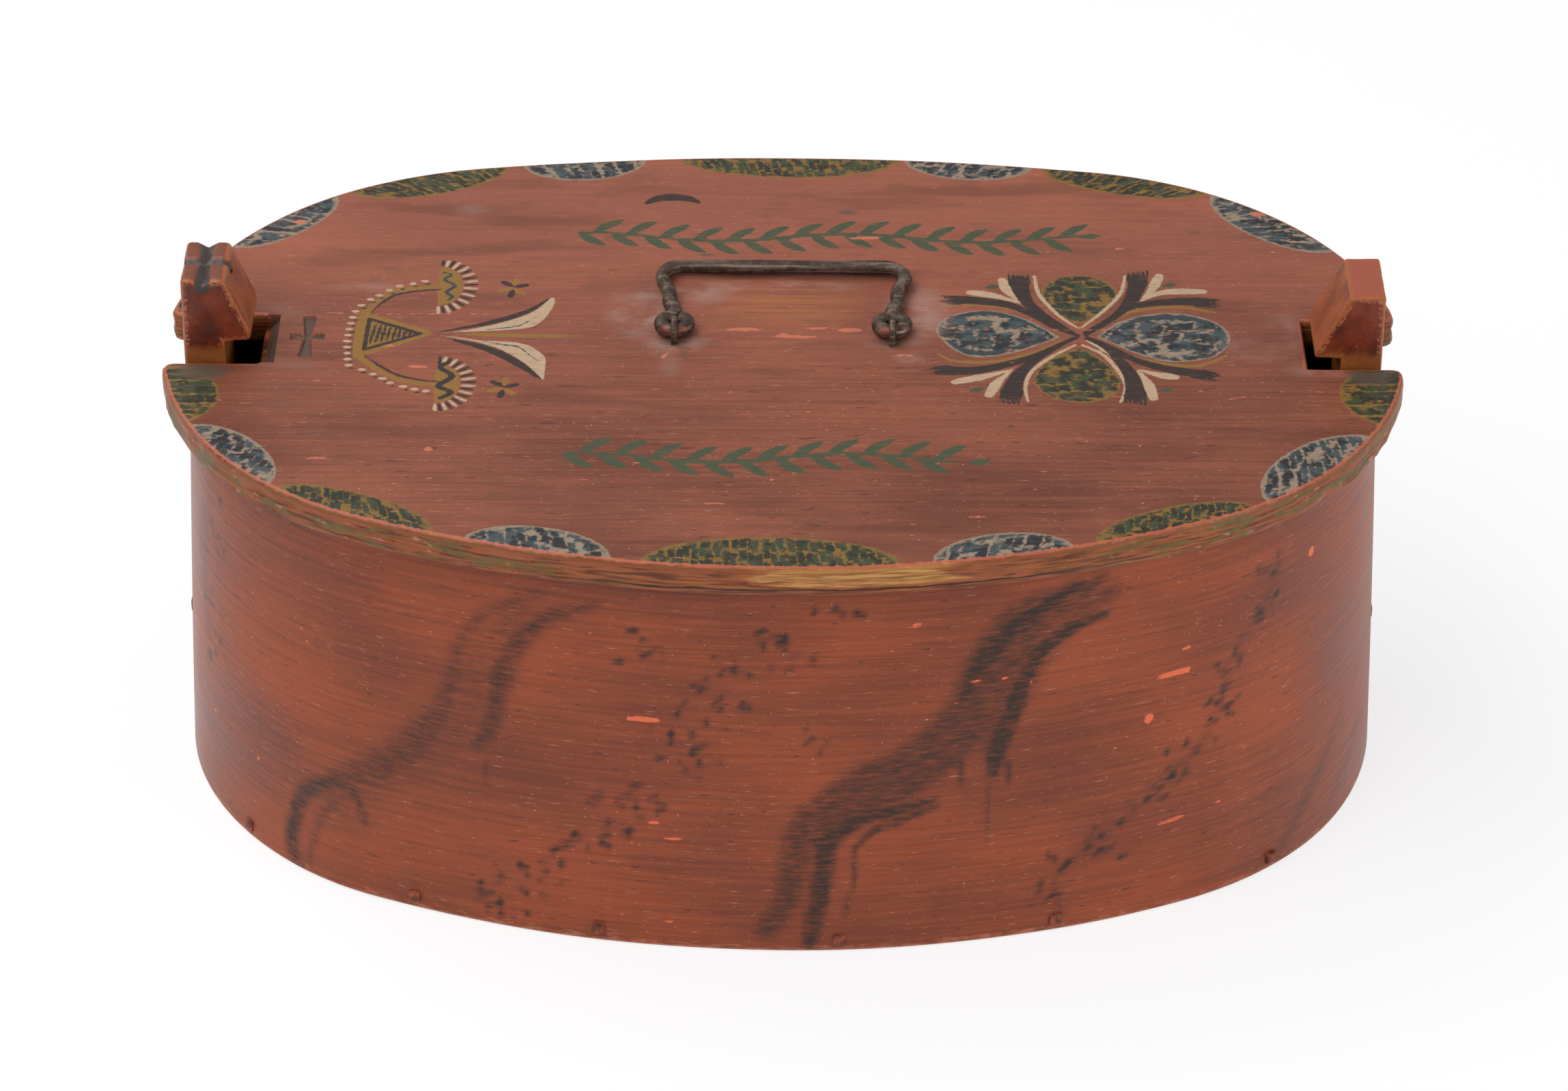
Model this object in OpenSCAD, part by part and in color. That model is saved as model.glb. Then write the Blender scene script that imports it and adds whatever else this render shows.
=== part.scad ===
// Oval bentwood box with a lift-off lid held between two hooked end posts.
// Millimetres, +Z up, origin at the middle of the bottom, front towards -Y, left post at -X.

/* [Lid] */
// Half of the lid's length, along X
lid_half_len = 188; // [176:0.5:200]
// Radius of the lid's rounded ends
lid_end_r = 108; // [92:0.5:124]
// How far the front edge bulges past the round ends
front_bulge = 17; // [8:0.1:26]
// How far the back edge bulges past the round ends
back_bulge = 6.6; // [4:0.1:18]
// Thickness of the lid board
lid_t = 10; // [8:0.2:13]
// Worn edge of the lid, above and below
lid_edge = 1.4; // [0.4:0.1:2.5]
// Room between a post and the side of its notch
notch_side_gap = 1.7; // [0.6:0.1:3]
// Room between the left hook's tip and the through part of its notch
left_notch_end_gap = 1.6; // [0.8:0.1:4]
// Room between the right hook's tip and the end of its notch
right_notch_end_gap = 1.9; // [0.8:0.1:4]
// Round inner corners of both notches
notch_corner_r = 2.5; // [1:0.1:5]
// Length of the sloped floor at the left notch's inner end
ramp_len = 5.2; // [2:0.1:9]
// Depth of the sloped floor at its shallow end
ramp_shallow = 1.2; // [0.4:0.1:2.5]
// Depth of the sloped floor at its deep end
ramp_deep = 6.5; // [3:0.1:7.5]

/* [Carved crosses] */
// Lid cross, from the left notch's inner end to its middle
lid_cross_from_notch = 9; // [8:0.5:20]
// Lid cross, from the post line to its middle, towards the back
lid_cross_back = 1.6; // [-4:0.1:4]
// Lid cross, length across the lid
lid_cross_long = 23; // [14:0.5:30]
// Lid cross, length along the lid
lid_cross_short = 10; // [6:0.5:14]
// Lid cross, width of an arm's end
lid_cross_end_w = 3.8; // [2:0.1:5]
// Lid cross, width at its middle
lid_cross_waist = 1.6; // [0.8:0.1:2]
// Depth of the lid cross
lid_cross_deep = 1.2; // [0.4:0.1:2]
// Width of the V cuts in the left hook's top
hook_cross_w = 3.2; // [1.6:0.1:4]

/* [Wall band] */
// Height of the band, floor to rim
wall_h = 128.8; // [100:0.5:150]
// Thickness of the bent band
wall_t = 4.5; // [3:0.1:6]
// How far the lid's edge stands out past the band's foot
foot_inset = 2.6; // [2.2:0.1:6]
// How far the rim is drawn in from the foot
draw_in = 5.2; // [1:0.1:7]
// Length of the overlapped seam at the back
lap_len = 76; // [68:1:100]
// Extra thickness where the band's outer end lies over it
lap_t = 2; // [1.2:0.1:2.2]
// Length over which the lap's hidden side fades into the band
lap_fade = 34; // [20:1:40]

/* [Lacing] */
// Width of the split root
lace_w = 3.4; // [2:0.1:5]
// Thickness of the split root
lace_t = 1.1; // [0.7:0.1:1.8]
// Number of stitches in each row, an odd number
lace_stitches = 7; // [5:2:9]
// From the floor to the lowest stitch hole
lace_low = 20; // [16:0.5:30]
// From the highest stitch hole to the rim
lace_top_gap = 14; // [8:0.5:24]
// From the lap's outer end to the first row
lace_row_1 = 9; // [6:0.5:14]
// From the lap's outer end to the second row
lace_row_2 = 31; // [22:0.5:34]
// Room round the root in its holes
lace_gap = 0.1; // [0.05:0.05:0.3]

/* [Bottom] */
// Thickness of the bottom board
bottom_t = 9; // [7:0.5:14]
// Room between the bottom board and the band
bottom_gap = 0.1; // [0.05:0.05:0.4]
// Side of the square wooden pegs
peg_side = 3.8; // [2.5:0.1:5]
// Length of a bottom peg inside the band's outer face
peg_len = 20; // [14:0.5:30]
// How far a peg's head stands out
peg_proud = 0.6; // [0.2:0.1:1.2]
// Height of the bottom pegs' middle line
peg_z = 4.2; // [3.2:0.1:5]
// Room round a peg in its hole
peg_gap = 0.05; // [0.02:0.01:0.2]

/* [Posts] */
// Width of a post, front to back
post_w = 24; // [18:0.5:30]
// Thickness of a post above the rim
post_t = 12.4; // [10:0.1:15]
// Room between a post and the band's inside
post_gap = 0.1; // [0.05:0.05:0.4]
// Height of a hook, underside to top
hook_h = 21.2; // [16:0.2:26]
// From a post's outer face to its hook's tip
hook_reach = 20.3; // [17:0.1:24]
// Top width of the left hook
left_hook_top = 13.2; // [9:0.1:15]
// Top width of the right hook
right_hook_top = 10.4; // [9:0.1:15]
// Upright nose of the left hook
left_hook_nose = 3.4; // [1:0.1:6]
// Upright nose of the right hook
right_hook_nose = 1.6; // [1:0.1:6]
// From the lid's top to the left hook's underside
left_hook_lift = 5.8; // [1:0.1:8]
// From the lid's top to the right hook's underside
right_hook_lift = 2; // [1:0.1:8]
// Height of the lower peg through the band and a post
post_peg_low = 42; // [25:1:55]
// Height of the upper peg through the band and a post
post_peg_high = 104; // [70:1:110]

/* [Bail] */
// Diameter of the bail's iron wire
bail_d = 4.6; // [3.4:0.1:6]
// Distance between the middles of the two eyes
eye_spacing = 66; // [50:0.5:90]
// Hole in each eye
eye_hole = 3.3; // [2.8:0.1:5]
// From the swing axis to the middle of the bail's bar
bail_reach = 38.4; // [28:0.2:50]
// Bend at each end of the bar, to the wire's middle
bail_bend_r = 6; // [4:0.2:9]
// Lean of the bail's legs, in degrees
bail_lean = 6; // [0:0.5:10]
// From the post line to the swing axis, towards the back
bail_axis_back = 1.3; // [-10:0.1:10]
// Room between the bail and the lid
bail_gap = 0.3; // [0.2:0.05:1]

/* [Staples] */
// Diameter of the staples' wire
staple_d = 2; // [1.4:0.1:2.2]
// Room between a staple and the eye's wire
staple_gap = 0.3; // [0.2:0.05:0.6]
// Length of a leg turned over under the lid
clinch_len = 6; // [4:0.5:12]
// Room round a staple's leg in the lid
leg_gap = 0.05; // [0.02:0.01:0.2]

/* [Hidden] */
$fn = 96;
// The four-arc oval: end circles at (+-end_x, post_y), one big arc in front and one behind
end_x = lid_half_len - lid_end_r;
front_k = (pow(end_x, 2) - pow(front_bulge, 2)) / (2 * front_bulge);
back_k = (pow(end_x, 2) - pow(back_bulge, 2)) / (2 * back_bulge);
front_r = lid_end_r + front_bulge + front_k;
back_r = lid_end_r + back_bulge + back_k;
front_half_angle = atan2(end_x, front_k);
back_half_angle = atan2(end_x, back_k);
// The post line stands behind the middle, because the front bulges more than the back
post_y = (front_bulge - back_bulge) / 2;
// The round ends stand out by a hair, so that they cross the long arcs cleanly
end_swell = 0.1;
far = 2 * lid_half_len;
lid_top = wall_h + lid_t;
slope = draw_in / wall_h;
lean = atan(slope);
// Posts
post_outer_x = lid_half_len - foot_inset - draw_in;
post_inner_x = post_outer_x - post_t;
tip_x = post_outer_x - hook_reach;
left_through_x = tip_x - left_notch_end_gap;
left_end_x = left_through_x - ramp_len;
right_end_x = tip_x - right_notch_end_gap;
notch_w = post_w + 2 * notch_side_gap;
// Lap and lacing, as angles about the back arc's middle
lap_r = back_r - foot_inset;
lap_half = lap_len / lap_r * 90 / PI;
lace_pitch = (wall_h - lace_top_gap - lace_low) / lace_stitches;
// Bottom pegs: places along the front and back arcs, as shares of half an arc
front_peg_places = [-0.89, -0.43, 0.14, 0.66];
back_peg_places = [-0.89, -0.54, 0.54, 0.89];
// Bottom pegs on the round ends: side, then share of the way from the post line to the front or back arc
front_end_pegs = [[-1, 0.58], [1, 0.74]];
back_end_pegs = [[-1, 0.6], [1, 0.6]];
// Bail and staples
bail_r = bail_d / 2;
eye_r = eye_hole / 2 + bail_r;
bail_axis_y = post_y + bail_axis_back;
bail_axis_z = lid_top + bail_gap + bail_r;
bail_bar_y = bail_axis_y + bail_reach;
bail_eye_y = bail_axis_y + eye_r;
leg_start_y = bail_bar_y - bail_bend_r * (1 + sin(bail_lean));
leg_len = (leg_start_y - bail_eye_y - eye_r) / cos(bail_lean);
bar_half = eye_spacing / 2 + leg_len * sin(bail_lean) - bail_bend_r * cos(bail_lean);
// The forged bends are a hair thicker than the wire, so bar and legs end inside them
bend_swell = 0.05;
bend_lap = 0.4;
staple_r = staple_d / 2;
staple_bow = bail_r + staple_gap + staple_r;
// A post's stem ends a hair inside its hook block, so that the two are one piece at any height
stem_lap = 0.4;

// How far the band's outer face lies inside the lid's outline at height z
function inset(z) = foot_inset + slope * z;

// The profile turned about the middle of one of the oval's arcs
module turned(r, cx, cy, profile) {
    low = profile[0][1];
    high = profile[len(profile) - 1][1];
    translate([cx, post_y + cy, 0]) rotate_extrude()
        polygon(concat([[0, high], [0, low]], [for (p = profile) [r - p[0], p[1]]]));
}

// A solid oval slab. The profile lists, from below up, [how far inside the lid's outline, height].
// The front and back arcs meet in a lens, cut where the round ends take over.
module oval(profile) {
    m = 1 + far / front_k;
    n = 1 + far / back_k;
    front_far = [end_x * m, front_k * (1 - m)];
    back_far = [end_x * n, back_k * (n - 1)];
    union() {
        intersection() {
            turned(front_r, 0, front_k, profile);
            turned(back_r, 0, -back_k, profile);
            translate([0, post_y, profile[0][1] - 1]) linear_extrude(profile[len(profile) - 1][1] - profile[0][1] + 2)
                polygon([[-end_x, 0], [-front_far[0], front_far[1]], front_far,
                    [end_x, 0], back_far, [-back_far[0], back_far[1]]]);
        }
        turned(lid_end_r + end_swell, end_x, 0, profile);
        turned(lid_end_r + end_swell, -end_x, 0, profile);
    }
}

// The oval that lies deep millimetres inside the band's outer face, between two heights
module wall_oval(deep, low, high) {
    oval([[inset(low) + deep, low], [inset(high) + deep, high]]);
}

// Puts its child on the band's outer face: local +Y points out, polar angle a, height z
module on_wall(cx, cy, r, a, z) {
    translate([cx, post_y + cy, z]) rotate([0, 0, a - 90]) translate([0, r - inset(z), 0]) children();
}

// Every bottom peg's place
module at_bottom_pegs() {
    for (p = front_peg_places) on_wall(0, front_k, front_r, 270 + p * front_half_angle, peg_z) children();
    for (p = back_peg_places) on_wall(0, -back_k, back_r, 90 - p * back_half_angle, peg_z) children();
    for (p = front_end_pegs)
        on_wall(p[0] * end_x, 0, lid_end_r, 270 + p[0] * (90 - p[1] * (90 - front_half_angle)), peg_z) children();
    for (p = back_end_pegs)
        on_wall(p[0] * end_x, 0, lid_end_r, 90 - p[0] * (90 - p[1] * (90 - back_half_angle)), peg_z) children();
}

// A square peg of the given length, grown by gap for its hole
module peg(length, gap) {
    s = peg_side + 2 * gap;
    translate([-s / 2, -length - gap, -s / 2]) cube([s, length + peg_proud + gap, s]);
}

// A post peg is as long as the band and the post are thick together at its height
module post_peg(z, gap) {
    peg(lid_half_len - inset(z) - post_inner_x + peg_proud, gap);
}

// Both pegs of one post, side -1 left and 1 right
module post_peg_set(side, gap) {
    for (z = [post_peg_low, post_peg_high])
        on_wall(side * end_x, 0, lid_end_r, side < 0 ? 180 : 0, z) post_peg(z, gap);
}

// A place on the back of the band, from the lap's outer end, with the wall's lean
module at_lap(along) {
    a = lap_half - along / lap_r * 180 / PI;
    translate([0, post_y - back_k, 0]) rotate([0, 0, -a]) translate([0, lap_r, 0]) rotate([lean, 0, 0]) children();
}

// One row of running stitches: bars outside and inside in turn, joined through the wall
module lace_row(gap) {
    w = lace_w + 2 * gap;
    t = lace_t + 2 * gap;
    out_y = lap_t + lace_gap;
    in_y = -wall_t - lace_gap - lace_t;
    for (i = [0 : lace_stitches])
        translate([-w / 2, in_y, lace_low + i * lace_pitch - t / 2]) cube([w, out_y + lace_t - in_y, t]);
    if (gap == 0)
        for (i = [0 : lace_stitches - 1])
            translate([-w / 2, i % 2 == 0 ? out_y : in_y, lace_low + i * lace_pitch - t / 2])
                cube([w, lace_t, lace_pitch + t]);
}

module side_band() {
    color("sienna") difference() {
        union() {
            difference() {
                wall_oval(0, 0, wall_h);
                wall_oval(wall_t, -1, wall_h + 1);
            }
            // The band's outer end over its own beginning
            difference() {
                translate([0, post_y - back_k, 0]) rotate([0, 0, 90 - lap_half])
                    rotate_extrude(angle = 2 * lap_half, $fn = 720)
                        polygon([[lap_r - wall_t / 2, 0], [lap_r + lap_t, 0],
                            [lap_r + lap_t - draw_in, wall_h], [lap_r - draw_in - wall_t / 2, wall_h]]);
                at_lap(lap_len - lap_fade) rotate([0, 0, atan((lap_t + wall_t / 4) / lap_fade)])
                    translate([-far, lap_t, -wall_h]) cube([far, far, 3 * wall_h]);
            }
        }
        at_bottom_pegs() peg(peg_len, peg_gap);
        post_peg_set(-1, peg_gap);
        post_peg_set(1, peg_gap);
        at_lap(lace_row_1) lace_row(lace_gap);
        at_lap(lace_row_2) lace_row(lace_gap);
    }
}

module bottom_board() {
    color("burlywood") difference() {
        wall_oval(wall_t + bottom_gap, 0, bottom_t);
        at_bottom_pegs() peg(peg_len, peg_gap);
    }
}

module bottom_pegs() {
    color("tan") at_bottom_pegs() peg(peg_len, 0);
}

// A post on the +X end, seen along Y: stem inside the band, shoulder over the rim, hook above the lid
module post(top_w, nose, lift) {
    low = lid_top + lift;
    difference() {
        union() {
            intersection() {
                translate([post_inner_x, post_y - post_w / 2, bottom_t]) cube([far, post_w, wall_h + stem_lap - bottom_t]);
                wall_oval(wall_t + post_gap, 0, wall_h + 1);
            }
            translate([0, post_y + post_w / 2, 0]) rotate([90, 0, 0]) linear_extrude(post_w)
                polygon([[post_inner_x, wall_h], [post_outer_x, wall_h], [post_outer_x, low + hook_h],
                    [post_outer_x - top_w, low + hook_h], [tip_x, low + nose], [tip_x, low], [post_inner_x, low]]);
        }
        post_peg_set(1, peg_gap);
    }
}

// The two V cuts that cross on the left hook's top
module hook_cross() {
    s = hook_cross_w / sqrt(2);
    mid_x = post_outer_x - left_hook_top / 2;
    top_z = lid_top + left_hook_lift + hook_h;
    translate([mid_x, post_y, top_z]) rotate([0, 45, 0]) cube([s, 2 * post_w, s], center = true);
    translate([mid_x, post_y, top_z]) rotate([45, 0, 0]) cube([2 * hook_reach, s, s], center = true);
}

module left_post() {
    color("saddlebrown") mirror([1, 0, 0]) difference() {
        post(left_hook_top, left_hook_nose, left_hook_lift);
        hook_cross();
    }
}

module right_post() {
    color("saddlebrown") post(right_hook_top, right_hook_nose, right_hook_lift);
}

module left_post_pegs() {
    color("tan") post_peg_set(-1, 0);
}

module right_post_pegs() {
    color("tan") post_peg_set(1, 0);
}

module lap_lacing() {
    color("peru") {
        at_lap(lace_row_1) lace_row(0);
        at_lap(lace_row_2) lace_row(0);
    }
}

// The through part of a notch on the +X end, with round inner corners
module notch(end) {
    r = notch_corner_r;
    translate([0, post_y, wall_h - 1]) linear_extrude(lid_t + 2) {
        translate([end + r, -notch_w / 2]) square([far, notch_w]);
        translate([end, -notch_w / 2 + r]) square([far, notch_w - 2 * r]);
        for (s = [-1, 1]) translate([end + r, s * (notch_w / 2 - r)]) circle(r);
    }
}

// The sloped floor at the left notch's inner end
module ramp() {
    translate([0, post_y + notch_w / 2, 0]) rotate([90, 0, 0]) linear_extrude(notch_w)
        polygon([[left_end_x, lid_top - ramp_shallow], [left_through_x + notch_corner_r, lid_top - ramp_deep],
            [left_through_x + notch_corner_r, lid_top + 1], [left_end_x, lid_top + 1]]);
}

// The flared cross cut in the lid beside the left notch
module lid_cross() {
    e = lid_cross_end_w / 2;
    w = lid_cross_waist / 2;
    a = lid_cross_long / 2;
    b = lid_cross_short / 2;
    translate([lid_cross_from_notch - left_end_x, post_y + lid_cross_back, lid_top - lid_cross_deep])
        linear_extrude(lid_cross_deep + 1) {
        polygon([[-e, -a], [e, -a], [w, 0], [e, a], [-e, a], [-w, 0]]);
        polygon([[-b, -e], [0, -w], [b, -e], [b, e], [0, w], [-b, e]]);
    }
}

module lid_board() {
    color("indianred") difference() {
        oval([[lid_edge, wall_h], [0, wall_h + lid_edge], [0, lid_top - lid_edge], [lid_edge, lid_top]]);
        mirror([1, 0, 0]) notch(left_through_x);
        mirror([1, 0, 0]) ramp();
        notch(right_end_x);
        lid_cross();
        for (side = [-1, 1]) staple(side, leg_gap);
    }
}

// The bail: a bar with a bend and a leg at each end, closed into an eye
module bail_half() {
    translate([bar_half, bail_bar_y - bail_bend_r, 0]) rotate([0, 0, -bail_lean])
        rotate_extrude(angle = 90 + bail_lean) translate([bail_bend_r, 0]) circle(bail_r + bend_swell);
    translate([eye_spacing / 2, bail_eye_y + eye_r, 0]) rotate([0, 0, -bail_lean]) rotate([-90, 0, 0])
        cylinder(h = leg_len + bend_lap, r = bail_r);
    translate([eye_spacing / 2, bail_eye_y, 0]) rotate_extrude() translate([eye_r, 0]) circle(bail_r);
}

module bail_handle() {
    color("dimgray") translate([0, 0, bail_axis_z]) union() {
        translate([-bar_half - bend_lap, bail_bar_y, 0]) rotate([0, 90, 0])
            cylinder(h = 2 * (bar_half + bend_lap), r = bail_r);
        bail_half();
        mirror([1, 0, 0]) bail_half();
    }
}

// A staple: a bow over the eye's front wire, legs through the lid, ends turned over below
module staple(side, gap) {
    r = staple_r + gap;
    end_z = wall_h - staple_r - leg_gap;
    translate([side * eye_spacing / 2, bail_axis_y, 0]) union() {
        if (gap == 0)
            translate([0, 0, bail_axis_z]) rotate([90, 0, 90]) rotate_extrude(angle = 180)
                translate([staple_bow, 0]) circle(r);
        for (s = [-1, 1]) translate([0, s * staple_bow, 0]) {
            translate([0, 0, end_z]) cylinder(h = bail_axis_z - end_z, r = r);
            if (gap == 0) {
                translate([0, 0, end_z]) sphere(r);
                translate([0, 0, end_z]) rotate([-90 * s, 0, 0]) cylinder(h = clinch_len, r = r);
            }
        }
    }
}

module left_staple() {
    color("gray") staple(-1, 0);
}

module right_staple() {
    color("gray") staple(1, 0);
}

side_band();
bottom_board();
bottom_pegs();
left_post();
right_post();
left_post_pegs();
right_post_pegs();
lap_lacing();
lid_board();
bail_handle();
left_staple();
right_staple();
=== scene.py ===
import math
from functools import partial

import bmesh
import bpy
import numpy as np
from mathutils import Matrix, Vector, noise


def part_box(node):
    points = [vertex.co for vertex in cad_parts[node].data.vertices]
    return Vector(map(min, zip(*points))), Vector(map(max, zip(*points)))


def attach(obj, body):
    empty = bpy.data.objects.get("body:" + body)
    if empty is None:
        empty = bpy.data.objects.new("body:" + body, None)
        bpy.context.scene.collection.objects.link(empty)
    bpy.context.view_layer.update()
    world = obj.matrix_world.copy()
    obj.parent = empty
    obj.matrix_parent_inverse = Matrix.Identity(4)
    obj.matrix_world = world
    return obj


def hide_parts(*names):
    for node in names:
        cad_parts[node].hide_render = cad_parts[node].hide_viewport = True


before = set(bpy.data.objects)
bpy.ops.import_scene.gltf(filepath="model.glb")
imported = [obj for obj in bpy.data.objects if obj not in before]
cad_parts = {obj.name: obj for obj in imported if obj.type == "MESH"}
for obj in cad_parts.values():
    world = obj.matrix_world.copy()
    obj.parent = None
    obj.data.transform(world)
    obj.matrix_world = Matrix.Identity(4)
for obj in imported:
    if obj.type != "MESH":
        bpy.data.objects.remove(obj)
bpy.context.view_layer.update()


# Bottom board
# An oval pine board let into the foot of the bent band and held there by wooden pegs.
# It was never painted: it shows inside the open box and from below, planed and browned by age.
def linear(colour):
    """A #rrggbb colour as the linear RGBA that shader sockets take."""
    parts = [int(colour[k:k + 2], 16) / 255 for k in (1, 3, 5)]
    return tuple(p / 12.92 if p <= 0.04045 else ((p + 0.055) / 1.055) ** 2.4 for p in parts) + (1.0,)


# For the kinds of node used most: the sockets that values fill in order, what a socket starts with,
# the usual settings, and the output that is used
usual = {
    "Mix": ((0, 6, 7), {}, {"data_type": "RGBA"}, 2),
    "MapRange": (range(5), {}, {"interpolation_type": "SMOOTHSTEP"}, 0),
    "Math": (range(3), {2: 0.0}, {"operation": "MULTIPLY_ADD"}, 0),
    "Attribute": ((), {}, {}, "Fac"),
}


def fill(made, sockets):
    """Gives a node's sockets their values, or links them to other nodes' outputs."""
    for socket, value in sockets.items():
        if isinstance(value, bpy.types.NodeSocket):
            made.id_data.links.new(value, made.inputs[socket])
        else:
            made.inputs[socket].default_value = linear(value) if isinstance(value, str) else value


def node(tree, kind, *values, output=None, **named):
    """Adds one shader node with its settings and links, and returns one of its outputs. Values fill its
    sockets in order. A name with a capital is a socket, and any other name is a setting."""
    order, start, settings, main = usual.get(kind, (range(len(values)), {}, {}, 0))
    made = tree.nodes.new("ShaderNode" + kind)
    sockets = {**start, **dict(zip(order, values))}
    for name, value in {**settings, **named}.items():
        if name.islower():
            setattr(made, name, value)
        else:
            sockets[name] = value
    fill(made, sockets)
    return made.outputs[main if output is None else output]


def grain(add, spot, x, y, z, **sockets):
    """Cloudy noise with the given size in millimetres along each axis."""
    scaled = add("Mapping", Vector=spot, Scale=(1000 / x, 1000 / y, 1000 / z))
    return add("TexNoise", Vector=scaled, Scale=1.0, **sockets)


def new_material(name):
    """A new material, its main shader, and the function that adds nodes to it."""
    material = bpy.data.materials.new(name)
    material.use_nodes = True
    tree = material.node_tree
    return material, tree.nodes["Principled BSDF"], partial(node, tree)


def old_pine(name, path=None):
    """Bare pine, planed and then handled for a century: gold brown, with darker late wood about 3 mm
    apart, fine fibres and soft grey-brown stains. It is dry, so it hardly shines. The grain follows X, or
    a path that the mesh keeps."""
    material, shader, add = new_material(name)
    spot = add("TexCoord", output="Object")
    if path:
        spot = add("Attribute", attribute_name=path, output="Vector")
    late = grain(add, spot, 110, 3.2, 3.2, Detail=3.0, Distortion=0.4)
    fibre = grain(add, spot, 16, 0.6, 0.6, Detail=3.0)
    stain = grain(add, spot, 60, 34, 34, Detail=4.0)
    colour = add("Mix", add("MapRange", late, 0.42, 0.68), "#b08656", "#8f653c")
    colour = add("Mix", add("MapRange", fibre, 0.5, 0.8, 0, 0.45), colour, "#6f4a2c")
    colour = add("Mix", add("MapRange", stain, 0.5, 0.78, 0, 0.6), colour, "#6b5543")
    relief = add("Bump", Height=fibre, Strength=0.35, Distance=0.0004)
    fill(shader, {"Base Color": colour, "Roughness": 0.72, "Normal": relief})
    return material


def place(mesh, name, materials, body, slot, *nodes):
    """Puts a finished mesh in the scene: it rides on its body and stands for its CAD nodes."""
    made = bpy.data.objects.new(name, mesh)
    bpy.context.scene.collection.objects.link(made)
    for material in materials:
        mesh.materials.append(material)
    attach(made, body)
    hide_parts(*nodes)
    return made


def steady_mesh(bm, name):
    """Ends a bmesh as a mesh whose faces have the same order and the same first corner in every run."""
    bm.verts.index_update()
    rings = []
    for face in bm.faces:
        ring = [v.index for v in face.verts]
        first = ring.index(min(ring))
        rings.append(ring[first:] + ring[:first])
    mesh = bpy.data.meshes.new(name)
    mesh.from_pydata([v.co[:] for v in bm.verts], [], sorted(rings))
    bm.free()
    return mesh


def softened(cad_node, name, width, material, body, slot):
    """A merged copy of a CAD node with its edges rubbed round, which stands for the node."""
    bm = bmesh.new()
    bm.from_mesh(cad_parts[cad_node].data)
    bmesh.ops.remove_doubles(bm, verts=bm.verts[:], dist=1e-5)
    bmesh.ops.dissolve_limit(bm, angle_limit=math.radians(1), verts=bm.verts[:], edges=bm.edges[:])
    sharp = [e for e in bm.edges if len(e.link_faces) == 2 and e.calc_face_angle(0) > math.radians(35)]
    bmesh.ops.bevel(bm, geom=sharp, offset=width, offset_type="OFFSET", affect="EDGES", segments=2,
                    profile=0.5, material=-1, clamp_overlap=True)
    mesh = steady_mesh(bm, name)
    mesh.shade_smooth()
    mesh.set_sharp_from_angle(angle=math.radians(35))
    return place(mesh, name, [material], body, slot, cad_node)


softened("bottom_board", "pine_bottom", 0.0006, old_pine("old planed pine"), "box", "bare_wood")


# Side band
# A thin pine board, steamed and bent round the bottom into a four-arc oval that draws in towards the rim,
# with its ends lapped at the back. Outside it has red-brown distemper with soot-dark marbling; inside it
# is bare.
mm = 0.001
end_r = 108.0
end_x = 188.0 - end_r
front_bulge, back_bulge = 17.0, 6.6
front_k = (end_x ** 2 - front_bulge ** 2) / (2 * front_bulge)
back_k = (end_x ** 2 - back_bulge ** 2) / (2 * back_bulge)
front_r = end_r + front_bulge + front_k
back_r = end_r + back_bulge + back_k
front_half = math.atan2(end_x, front_k)
back_half = math.atan2(end_x, back_k)
front_run = front_half * front_r
back_run = back_half * back_r
post_line = (front_bulge - back_bulge) / 2
half_rim = front_run + (math.pi - front_half - back_half) * end_r + back_run
wall_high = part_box("side_band")[1][2] / mm
wall_thick, foot_inset, draw_in = 4.5, 2.6, 5.2
lap_len, lap_thick, lap_fade = 76.0, 2.0, 34.0
lap_start = half_rim - lap_len / 2
skin_shy = 0.3


def inset(z):
    """How far the band's outer face lies inside the lid's outline at a height."""
    return foot_inset + draw_in * z / wall_high


def rim_place(x, y):
    """Arc length along the lid's outline from the middle of the front, and depth inside it."""
    y = y - post_line
    side = np.where(x < 0, -1.0, 1.0)
    x = np.abs(x)
    front_turn = np.arctan2(x, front_k - y)
    back_turn = np.arctan2(x, back_k + y)
    end_turn = np.clip(np.arctan2(x - end_x, -y), front_half, math.pi - back_half)
    front = (y < 0) & (front_turn <= front_half)
    back = (y >= 0) & (back_turn <= back_half)
    along = front_run + (end_turn - front_half) * end_r
    along = np.where(front, front_turn * front_r, np.where(back, half_rim - back_turn * back_r, along))
    deep = end_r - np.hypot(x - end_x, y)
    deep = np.where(front, front_r - np.hypot(x, front_k - y), deep)
    deep = np.where(back, back_r - np.hypot(x, back_k + y), deep)
    return side * along, deep


def rim_point(along, deep):
    """The place at an arc length and a depth: rim_place the other way round."""
    along = np.where(along < -half_rim, along + 2 * half_rim, along)
    side = np.where(along < 0, -1.0, 1.0)
    along = np.abs(along)
    front = along < front_run
    back = along > half_rim - back_run
    turn = front_half + (along - front_run) / end_r
    turn = np.where(front, along / front_r, np.where(back, math.pi - (half_rim - along) / back_r, turn))
    r = np.where(front, front_r, np.where(back, back_r, end_r)) - deep
    x = np.where(front | back, 0.0, end_x) + r * np.sin(turn)
    y = np.where(front, front_k, np.where(back, -back_k, 0.0)) - r * np.cos(turn)
    return side * x, y + post_line


def places(mesh):
    """Every vertex's place as an array."""
    flat = np.empty(len(mesh.vertices) * 3, np.float32)
    mesh.vertices.foreach_get("co", flat)
    return flat.reshape(-1, 3).astype(float)


def move(mesh, co):
    """Gives every vertex its new place."""
    mesh.vertices.foreach_set("co", co.astype(np.float32).ravel())


def keep(mesh, name, values):
    """Keeps one number for each vertex, which a material reads by name."""
    made = mesh.attributes.new(name, "FLOAT", "POINT")
    made.data.foreach_set("value", np.asarray(values, np.float32))


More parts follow.
